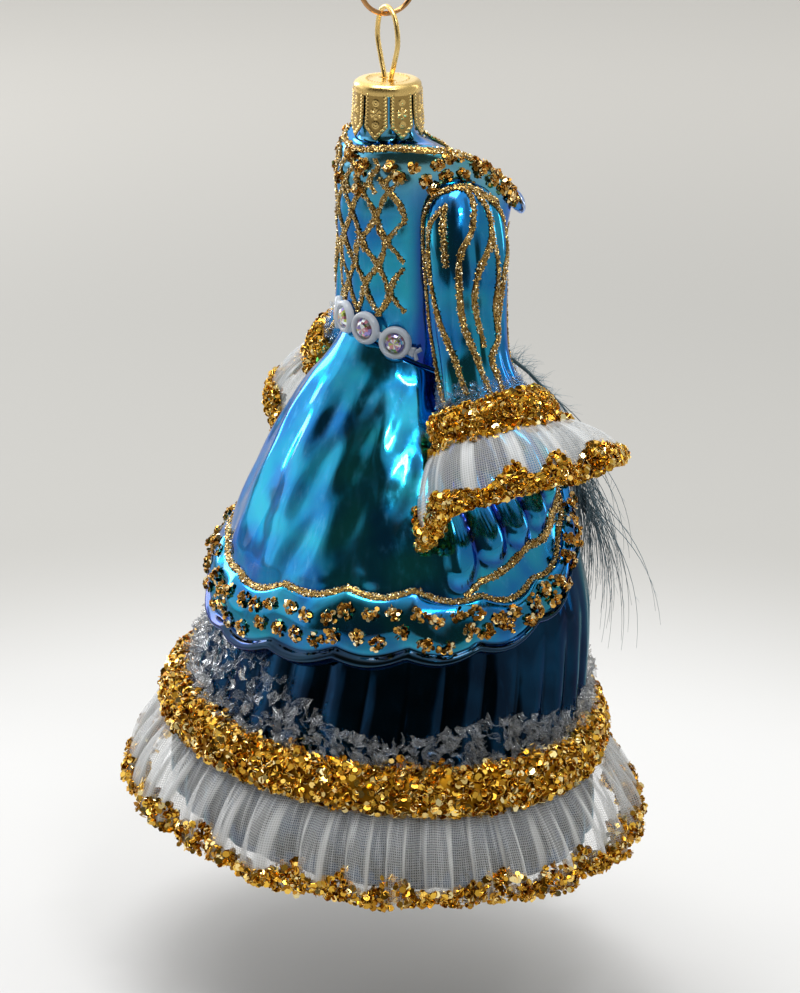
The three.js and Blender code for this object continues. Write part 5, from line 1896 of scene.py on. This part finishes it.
@dataclass
class Cuffs:
    """The cuffs: a glitter band round each sleeve's end and a gathered frill that falls from it."""

    band_width: float = 5.0
    band_stand: float = 2.0
    from_angle: float = np.radians(-118)
    to_angle: float = np.radians(132)
    drop: float = 12.6
    edge_out: float = 9.4
    waves: int = 5
    wave: float = 1.2
    overlap: float = 0.24
    gap: float = 0.32
    cloth: float = 0.12
    flake: float = 0.58
    band_flakes: int = 2400
    edge_flakes: int = 3800

    def band_surface(self, share: Array, across: Array) -> Array:
        """The band's outside: a half-round cushion over the sleeve's skin, by the way round and across."""
        share, across = same_shape(share, across)
        angle = lerp(self.from_angle, self.to_angle, share)
        ends = np.clip(np.sin(np.clip(share, 0.004, 0.996) * np.pi) * 6, 0, 1) ** 0.5
        swell = np.sin(np.clip(across, 0, 1) * np.pi) ** 0.45
        out = self.gap + (self.band_stand + 0.1) * swell * ends + 0.15 * np.sin(share * 60) * swell
        return FORM.cuff(angle, -self.band_width + (self.band_width + 0.3) * across, out)

    def phase(self, share: Array) -> Array:
        """How far on the folds are at a share of the way round: five broad ones, unevenly spaced."""
        return share * self.waves * TURN + 0.9 * np.sin(share * 9)

    def frill_skin(self, share: Array, down: Array) -> Array:
        """The frill's middle surface, by the way round and the way down.

        It stands out and falls: out = base + edge_out (1 - (1 - down)^2) + folds, less on its outer and
        back sides, and along = drop * down^1.2.

        Args:
            share: The share of the way round.
            down: The share of the frill's height.

        Returns:
            The points.
        """
        share, down = same_shape(share, down)
        down = np.maximum(down, 0)
        phase = self.phase(share)
        leant = share - self.overlap / (self.waves * TURN) * np.sin(2 * phase) * down**0.5
        angle = lerp(self.from_angle, self.to_angle, leant)
        ripple = np.sin(phase) * self.wave * down**0.8 * (0.8 + 0.2 * np.sin(5 * angle))
        fine = 0.22 * np.sin(6 * phase + 2 * np.sin(angle)) * smooth(0.6, 0.1, down)
        shy = 1 - 0.25 * np.maximum(0, np.cos(angle)) ** 2 - 0.3 * np.maximum(0, -np.sin(angle))
        shy = shy + 0.14 * np.maximum(0, np.sin(angle))
        out = self.band_stand * 0.5 + self.edge_out * shy * (1 - (1 - down) ** 2) + ripple * 0.8 + fine
        longer = 1 + 0.36 * smooth(0.3, 0.05, share) - 0.26 * smooth(0.5, 0.85, share)
        along = 0.3 + self.gap + self.drop * longer * down**1.2 - ripple * 0.2 * down
        return FORM.cuff(angle, along, out)

    def band(self, side: Side, glue: Material, flakes: Material, rng: Rng) -> None:
        """One cuff's glue bed and heaped flakes, a few of which lie on the frill's root.

        Args:
            side: Which of the two sides.
            glue: The glue bed.
            flakes: The flakes of film.
            rng: The source of the randomness.
        """
        across, share = table(np.linspace(0, 1, 16), np.linspace(0, 1, 90))
        bed = grid(self.band_surface(share, across)).marked(tint=0.5).mirrored(side)
        seat_shell(f"cuff_{side.word}_glitter_bed", bed, glue, 0.3, "glitter", f"cuff_band_{side.word}")
        count = self.band_flakes
        at, wide = rng.uniform(0.005, 0.995, count), rng.uniform(0.03, 0.97, count)
        centres, normals = self.band_surface(at, wide), normal_of(self.band_surface, at, wide)
        low = (rng.random(count) < 0.22)[:, None]
        centres = np.where(low, self.frill_skin(at, 0.13 * wide) + 0.35 * normals, centres)
        heap = heap_flakes(centres, normals, (0.02, 0.55), (self.flake, 0.75, 1.3), 0.85, rng)
        seat_glitter(f"cuff_{side.word}_glitter_flakes", heap.mirrored(side), flakes)

    def frill(self, side: Side, organza: Material, flakes: Material, rng: Rng) -> None:
        """One cuff's frill as a sheet of cloth, and the flakes glued along its edge.

        Args:
            side: Which of the two sides.
            organza: The sheer cloth.
            flakes: The flakes of film.
            rng: The source of the randomness.
        """
        down, share = table(np.linspace(0, 1, 30), np.linspace(0, 1, self.waves * 52))
        points = self.frill_skin(share, down)
        cloth, strip = laid_flat(points, -8, ring=False)
        walls = smooth(0.75, 0.98, np.abs(np.cos(self.phase(share)))) * smooth(0.05, 0.4, down)
        shape = grid(points, cloth=cloth).marked(fold=0.8 * walls).mirrored(side)
        name, node = f"cuff_{side.word}_frill_organza", f"cuff_frill_{side.word}"
        frill = seat_shell(name, shape, organza, self.cloth, "organza", node, 0.0)
        count = self.edge_flakes
        at = rng.uniform(0.0, 1.0, count)
        clump = 0.7 + 0.3 * np.sin(at * 40 + 2 * np.sin(at * 13))
        low = 1.03 - 0.4 * rng.random(count) * clump
        under = np.where(rng.random(count) < 0.4, -1.0, 1.0)
        centres = self.frill_skin(at, low)
        normals = normal_of(self.frill_skin, at, low) * under[:, None]
        edge = heap_flakes(centres, normals, (0.1, 0.7), (self.flake, 0.75, 1.25), 0.8, rng)
        gold = seat_glitter(f"cuff_{side.word}_gold_edge", edge.mirrored(side), flakes)
        log.info("cuff frill: cut %.4f x %.4f m", *strip)


# ---- Belt ----


@dataclass
class Belt:
    """The frosted strip of cups round the back waist, with its five cut stones."""

    stones: int = 5
    pitch: float = 0.067 * TURN
    drop: float = 1.9
    cup_radius: float = 2.95
    cup_depth: float = 1.2
    stand: float = 0.7
    bridge_half: float = 1.0
    bridge_lift: float = 0.45
    stone_radius: float = 1.85
    stone_depth: float = 1.0
    end_reach: float = 0.24  # how far each end runs past its last cup, in radians

    def frame(self, turn: Array) -> tuple[Array, Array, Array, Array]:
        """The belt's middle line on the bodice, with the ways round, up and outwards there."""
        index = Bodice.index_at(turn, FORM.waist_drop(turn) - self.drop)
        middle = FORM.bodice(turn, index)
        around = unit(FORM.bodice(turn + 0.01, index) - FORM.bodice(turn - 0.01, index))
        outward = normal_of(FORM.bodice, turn, index)
        return middle, around, np.cross(outward, around), outward

    @property
    def turns(self) -> list[float]:
        """Where each stone stands round the robe."""
        return [(k - (self.stones - 1) / 2) * self.pitch for k in range(self.stones)]

    def turned(self, profile: Array, turn: float, lift: float, sides: int) -> Shape:
        """Turns a profile round the belt's outward direction.

        Args:
            profile: Rows of radius and height.
            turn: Where round the robe.
            lift: How far the profile's foot stands off the bodice.
            sides: Points round it.

        Returns:
            The closed shape.
        """
        middle, around, up, outward = (a[0] for a in self.frame(np.array([turn])))
        angle = round_angles(sides)
        radius, height = profile[:, :1, None], profile[:, 1:, None] + lift
        rings = middle + radius * (np.cos(angle)[None, :, None] * around + np.sin(angle)[None, :, None] * up)
        shape = grid(rings + height * outward, round_closed=True)
        top, foot = (middle + (profile[row, 1] + lift) * outward for row in (0, -1))
        return capped(shape, len(profile), sides, top, foot)

    def strip(self) -> Piece:
        """The cups, rings turned round each stone's axis, and the flat bridges between them."""
        r, d = self.cup_radius, self.cup_depth
        seat_profile = [(0.3, 0.35), (1.8, 0.35), (1.92, 0.95), (2.2, d + 0.1)]
        outside = [(r - 0.2, d - 0.05), (r, d * 0.55), (r - 0.1, 0.0), (0.3, -0.02)]
        profile = smooth_path(seat_profile + outside, 46)
        parts = [self.turned(profile, turn, self.stand, 48) for turn in self.turns]
        height = self.stand + self.bridge_lift
        waist = self.bridge_half * (1 - 0.35 * np.sin(np.linspace(0, np.pi, 14)))
        stops = [self.turns[0] - self.end_reach, *self.turns, self.turns[-1] + self.end_reach]
        for a, b in zip(stops, stops[1:]):
            middle, _, up, outward = self.frame(np.linspace(a, b, 14))
            parts.append(sweep(middle + outward * height, up, waist, 0.32, 14))
        for sign, end in ((-1, stops[0]), (1, stops[-1])):
            middle, around, up, outward = (a[0] for a in self.frame(np.array([end])))
            for high in (-1, 1):
                path = np.linspace(0, 1, 8)[:, None] * (around * sign * 0.9 + up * high * 1.1) + middle
                parts.append(sweep(path + outward * height, outward, 0.3, 0.38, 8))
        belt = make_piece("belt_frosted_strip", joined(parts), FrostedPlastic().build())
        return seat(belt, "frosted_plastic", "belt")

    def stone(self, k: int, foil: Material, rng: Rng) -> Piece:
        """One cut stone: a table, a ring of star facets and a ring of kite facets over a girdle.

        Args:
            k: Its number, from 0.
            foil: The cut glass.
            rng: The source of the randomness.

        Returns:
            The piece.
        """
        r, d = self.stone_radius, self.stone_depth
        crown = [(0.5 * r, d), (0.72 * r, 0.8 * d), (0.98 * r, 0.28 * d)]
        profile = np.array([*crown, (r, 0.12), (0.9 * r, 0.0)])
        shape = self.turned(profile, self.turns[k], self.stand + self.cup_depth * 0.5, 16)
        corners = [face for block in shape.faces for face in block.tolist()]
        points = np.concatenate([shape.points[face] for face in corners])
        starts = np.cumsum([0] + [len(face) for face in corners[:-1]])
        tints = np.repeat(rng.random(len(corners)), [len(face) for face in corners])
        blocks = [np.arange(s, s + len(f))[None] for s, f in zip(starts, corners)]
        cut = Shape(points, blocks, {"tint": tints})
        piece = make_piece(f"belt_cut_stone_{k + 1}", cut, foil, flat_faced=True)
        return seat(piece, "stone_glass", f"belt_stone_{k + 1}")


# ---- Plume ----


@dataclass
class Plume:
    """The plume: a thin quill from the front waist with fine drooping barbs and fluff at its root."""

    # side, forward and drop of the quill's line
    quill: tuple[tuple[float, float, float], ...] = (
        (1.2, 20.8, 51.6),
        (1.6, 29.4, 58.5),
        (2.2, 34.8, 66.0),
        (2.8, 38.6, 76.0),
        (3.2, 40.6, 86.0),
    )
    barbs: int = 210
    hairs_per_barb: int = 4
    fluff: int = 190

    def spine(self, t: Array) -> Array:
        """The quill's line at shares of its length."""
        path = smooth_path([(s, -f, FORM.cap_top - d) for s, f, d in self.quill], 200)
        at = np.clip(t, 0, 1) * 199
        low = np.minimum(at.astype(int), 198)
        return lerp(path[low], path[low + 1], (at - low)[..., None])

    @staticmethod
    def bend(root: Array, middle: Array, tip: Array, t: Array) -> Array:
        """The curves (1 - t)^2 root + 2t(1 - t) middle + t^2 tip, one for each root, at shares t."""
        return (1 - t) ** 2 * root[:, None] + 2 * t * (1 - t) * middle[:, None] + t**2 * tip[:, None]

    def strands(
        self, root: Array, middle: Array, tip: Array, radius: float, steps: int, tints: Array
    ) -> Shape:
        """Three-sided strands that taper to a hair.

        Args:
            root: Where each begins.
            middle: What each bends towards.
            tip: Where each ends.
            radius: Their radius at the root.
            steps: Points along each.
            tints: Each strand's tint.

        Returns:
            All the strands, closed at both ends.
        """
        t = np.linspace(0, 1, steps)[None, :, None]
        path = self.bend(root, middle, tip, t)
        tangent = unit(np.gradient(path, axis=1))
        across = unit(np.cross(tangent, [1.0, 0.35, 0.1]))[:, :, None]
        up = np.cross(across, tangent[:, :, None])
        angle = round_angles(3)[:, None]
        taper = radius * (1 - 0.75 * t[..., None])
        rings = path[:, :, None] + taper * (across * np.cos(angle) + up * np.sin(angle))
        quads = grid(rings[0], round_closed=True).faces[0]
        ends = np.array([[0, 1, 2], [steps * 3 - 1, steps * 3 - 2, steps * 3 - 3]])
        start = (np.arange(len(root)) * steps * 3)[:, None, None]
        faces = [(quads[None] + start).reshape(-1, 4), (ends[None] + start).reshape(-1, 3)]
        return Shape(rings.reshape(-1, 3), faces, {"tint": np.repeat(tints, steps * 3)})

    def build(self, rng: Rng) -> Piece:
        """Makes the plume: the quill, its barbs, the hairs along them, and the fluff.

        Args:
            rng: The source of the randomness.

        Returns:
            The piece.
        """
        t = np.sort(rng.uniform(0.3, 1.0, self.barbs))
        root = self.spine(t)
        lean, away = rng.uniform(-0.26, 0.26, self.barbs), 0.03 + 0.47 * rng.random(self.barbs) ** 1.5
        heading = unit(np.stack([lean, -away, -np.sqrt(1 - lean**2 - away**2)], -1))
        length = (rng.uniform(14, 31, self.barbs) * (0.7 + 0.35 * t))[:, None]
        tip = root + heading * length
        arch = np.stack([lean, -0.12 - 0.1 * away, np.full(self.barbs, 0.1)], -1)
        middle = lerp(root, tip, 0.45) + arch * length
        barbs = self.strands(root, middle, tip, 0.11, 12, rng.random(self.barbs) * 0.5)

        share = rng.uniform(0.12, 0.85, (self.barbs, self.hairs_per_barb))[..., None]
        start = self.bend(root, middle, tip, share).reshape(-1, 3)
        ahead = np.repeat(heading, self.hairs_per_barb, 0)
        spread = rng.normal(size=start.shape) * [0.9, 0.9, 0.4] + ahead * 1.6
        reach = unit(spread) * rng.uniform(0.8, 2.0, len(start))[:, None]
        bent, end = start + reach * 0.5 + [0, 0, -0.15], start + reach + [0, 0, -0.6]
        hairs = self.strands(start, bent, end, 0.035, 4, 0.5 + 0.5 * rng.random(len(start)))

        low = self.spine(rng.uniform(0.05, 0.5, self.fluff))
        puff = unit(rng.normal(size=low.shape) + [0, -0.7, 0.3]) * rng.uniform(1.5, 5.0, self.fluff)[:, None]
        end = low + puff + [0, -0.4, -1.0]
        fluff = self.strands(low, low + puff * 0.6, end, 0.04, 6, 0.4 + 0.6 * rng.random(self.fluff))

        along = np.linspace(0, 1, 60)
        wide, deep = lerp(0.5, 0.12, along), lerp(0.4, 0.1, along)
        quill = sweep(self.spine(along), np.array([1.0, 0, 0]), wide, deep, 8)
        shape = joined([quill.marked(tint=0.1), barbs, hairs, fluff])
        return seat(make_piece("plume_barbs", shape, DyedFeather().build()), "feather", "plume")


# ---- Studio ----


@dataclass
class Studio:
    """The pale floor, the soft lamps, the room that the mirror shows, and the camera, in metres."""

    floor_z: float = -0.194
    azimuth: float = -115  # degrees, from the front towards the wearer's left
    elevation: float = 18.5
    distance: float = 0.8
    target: tuple[float, float, float] = (-0.000918, -0.001968, -0.0989)
    lens: float = 198.9
    walls: int = 0xB4B4B2
    room_strength: float = 1.35
    wander: float = 0.35
    # the room's zones: azimuth from the camera's own, elevation, outer and inner half angles, and tone
    zones: tuple[tuple[float, float, float, float, int], ...] = (
        (75, 10, 75, 40, 0xA3A29C),
        (-140, 14, 58, 34, 0xFFFFFF),
        (10, 80, 42, 24, 0xF0F0EE),
        (-24, 13, 60, 38, 0x3E3A30),
    )
    # the lamps: name, azimuth and elevation as above, distance, size and watts
    lamps: tuple[tuple[str, float, float, float, tuple[float, float], float], ...] = (
        ("top_softbox", -120, 82, 0.7, (0.36, 0.36), 3.3),
        ("window", -140, 16, 0.9, (0.22, 0.5), 2.3),
        ("front_strip", 22, 50, 0.8, (0.18, 0.035), 1.0),
        ("back_strip", 118, 20, 0.8, (0.1, 0.6), 0.7),
    )

    def direction(self, azimuth: float, elevation: float) -> Array:
        """The way from the object to a place at an azimuth (from the camera's own) and an elevation."""
        a, e = np.radians(self.azimuth + azimuth), np.radians(elevation)
        return np.array([np.sin(a) * np.cos(e), -np.cos(a) * np.cos(e), np.sin(e)])

    def face_target(self, item: Piece, azimuth: float, elevation: float, distance: float) -> None:
        """Puts an object round the target, with its -Z axis towards the target and its Y axis up.

        Args:
            item: The camera or a lamp.
            azimuth: Degrees from the camera's own azimuth.
            elevation: Degrees.
            distance: Metres from the target.
        """
        target = np.array(self.target)
        place = target + self.direction(azimuth, elevation) * distance
        back = unit(place - target)
        right = unit(np.cross([0.0, 0.0, 1.0], back))
        rows = np.stack([right, np.cross(back, right), back, place], -1)
        item.matrix_world = Matrix([*rows.tolist(), [0, 0, 0, 1]])

    def camera(self) -> None:
        """The camera, level, at the fitted distance and lens."""
        lens = bpy.data.cameras.new("camera")
        lens.sensor_fit, lens.sensor_width, lens.lens = "HORIZONTAL", 36.0, self.lens
        lens.clip_start, lens.clip_end = 0.01, 20.0
        item = link("camera", lens)
        self.face_target(item, 0, self.elevation, self.distance)
        bpy.context.scene.camera = item

    def hang_lamps(self) -> None:
        """Soft rectangular white lamps, hidden from the camera but seen in the glass."""
        for name, azimuth, elevation, distance, (wide, high), watts in self.lamps:
            light = bpy.data.lights.new(name, "AREA")
            light.shape, light.size, light.size_y = "RECTANGLE", wide, high
            light.energy = watts
            item = link(name, light)
            self.face_target(item, azimuth, elevation, distance)
            item.visible_camera = False

    def floor(self) -> None:
        """A square sheet of paper, far wider than any view."""
        half = 6.0
        corners = [(x * half, y * half, self.floor_z) for x, y in ((-1, -1), (1, -1), (1, 1), (-1, 1))]
        mesh = bpy.data.meshes.new("paper_floor")
        mesh.from_pydata(corners, [], [(0, 1, 2, 3)])
        mesh.materials.append(PaperFloor().build())
        ground = link("paper_floor", mesh)

    def room(self) -> bpy.types.World:
        """The room that the glass mirrors: a pale room with a bright window behind, dark in front.

        Each zone is a soft-edged cone round one direction, and a wide noise makes their edges wander.
        """
        world = bpy.data.worlds.new("studio_room")
        world.use_nodes = True
        world.node_tree.nodes.clear()
        way = add_node(world, "TexCoord")
        noise = add_node(world, "TexNoise", values={"Scale": 2.6, "Detail": 2.0}, links={"Vector": way})
        span = {"To Min": -self.wander, "To Max": self.wander}
        wander = add_node(world, "MapRange", values=span, links={"Value": noise})
        below: dict[str | int, Source] = {}
        for azimuth, elevation, outer, inner, tone in self.zones:
            axis = tuple(self.direction(azimuth, elevation).tolist())
            dot = (add_node(world, "VectorMath", {"operation": "DOT_PRODUCT"}, {1: axis}, {0: way}), "Value")
            moved = add_node(world, "Math", {"operation": "ADD"}, links={0: dot, 1: wander})
            cone = {"From Min": np.cos(np.radians(outer)), "From Max": np.cos(np.radians(inner))}
            share = add_node(world, "MapRange", SOFT, cone, {"Value": moved})
            ends = {MIX_A: linear(self.walls), MIX_B: linear(tone)}
            below = {MIX_A: (add_node(world, "Mix", COLOURS, ends, {0: share, **below}), MIX_OUT)}
        strength = {"Strength": self.room_strength}
        light = add_node(world, "Background", values=strength, links={"Color": below[MIX_A]})
        add_node(world, "OutputWorld", links={"Surface": light})
        return world

    def build(self) -> None:
        """Sets the whole studio."""
        self.camera()
        self.floor()
        scene = bpy.context.scene
        scene.view_settings.view_transform = "Standard"
        scene.world = self.room()
        self.hang_lamps()


def main() -> None:
    """Builds the ornament's pieces in order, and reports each."""
    logging.basicConfig(level=logging.INFO, format="%(message)s")
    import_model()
    rng = np.random.default_rng(SEED)
    blue, brass = BLUE_GLASS.build(), CAP_BRASS.build()
    dust, flakes, glue = GOLD_DUST.build(), GOLD_FLAKES.build(), GOLD_GLUE.build()
    small_flakes = BLOSSOM_FLAKES.build()
    organza, crushed, frost = Organza().build(), CRUSHED_GLASS.build(), FROST_CRYSTALS.build()
    foil = FoiledStone().build()

    Studio().build()
    hanger = Hanger()
    hanger.ring()
    hanger.loop(brass)
    CrownCap().build(brass)

    bodice = Bodice()
    bodice.glass(blue)
    bodice.glitter(dust, small_flakes, rng)
    bodice.bow()

    sleeves, cuffs = Sleeves(), Cuffs()
    for side in Side:
        sleeves.glass(side, blue)
        sleeves.glitter(side, dust, rng)
        sleeves.crystals(side, frost, rng)
        cuffs.band(side, glue, flakes, rng)
        cuffs.frill(side, organza, flakes, rng)

    overskirt = Overskirt()
    overskirt.glass(blue)
    overskirt.glitter(dust, small_flakes, rng)
    petticoat = Petticoat()
    petticoat.glass()
    petticoat.crushed_glass(crushed, rng)
    hem = HemTrim()
    hem.band(glue, flakes, rng)
    hem.frill(organza, flakes, rng)

    belt = Belt()
    belt.strip()
    for k in range(belt.stones):
        belt.stone(k, foil, rng)
    Plume().build(rng)


if __name__ == "__main__":
    main()
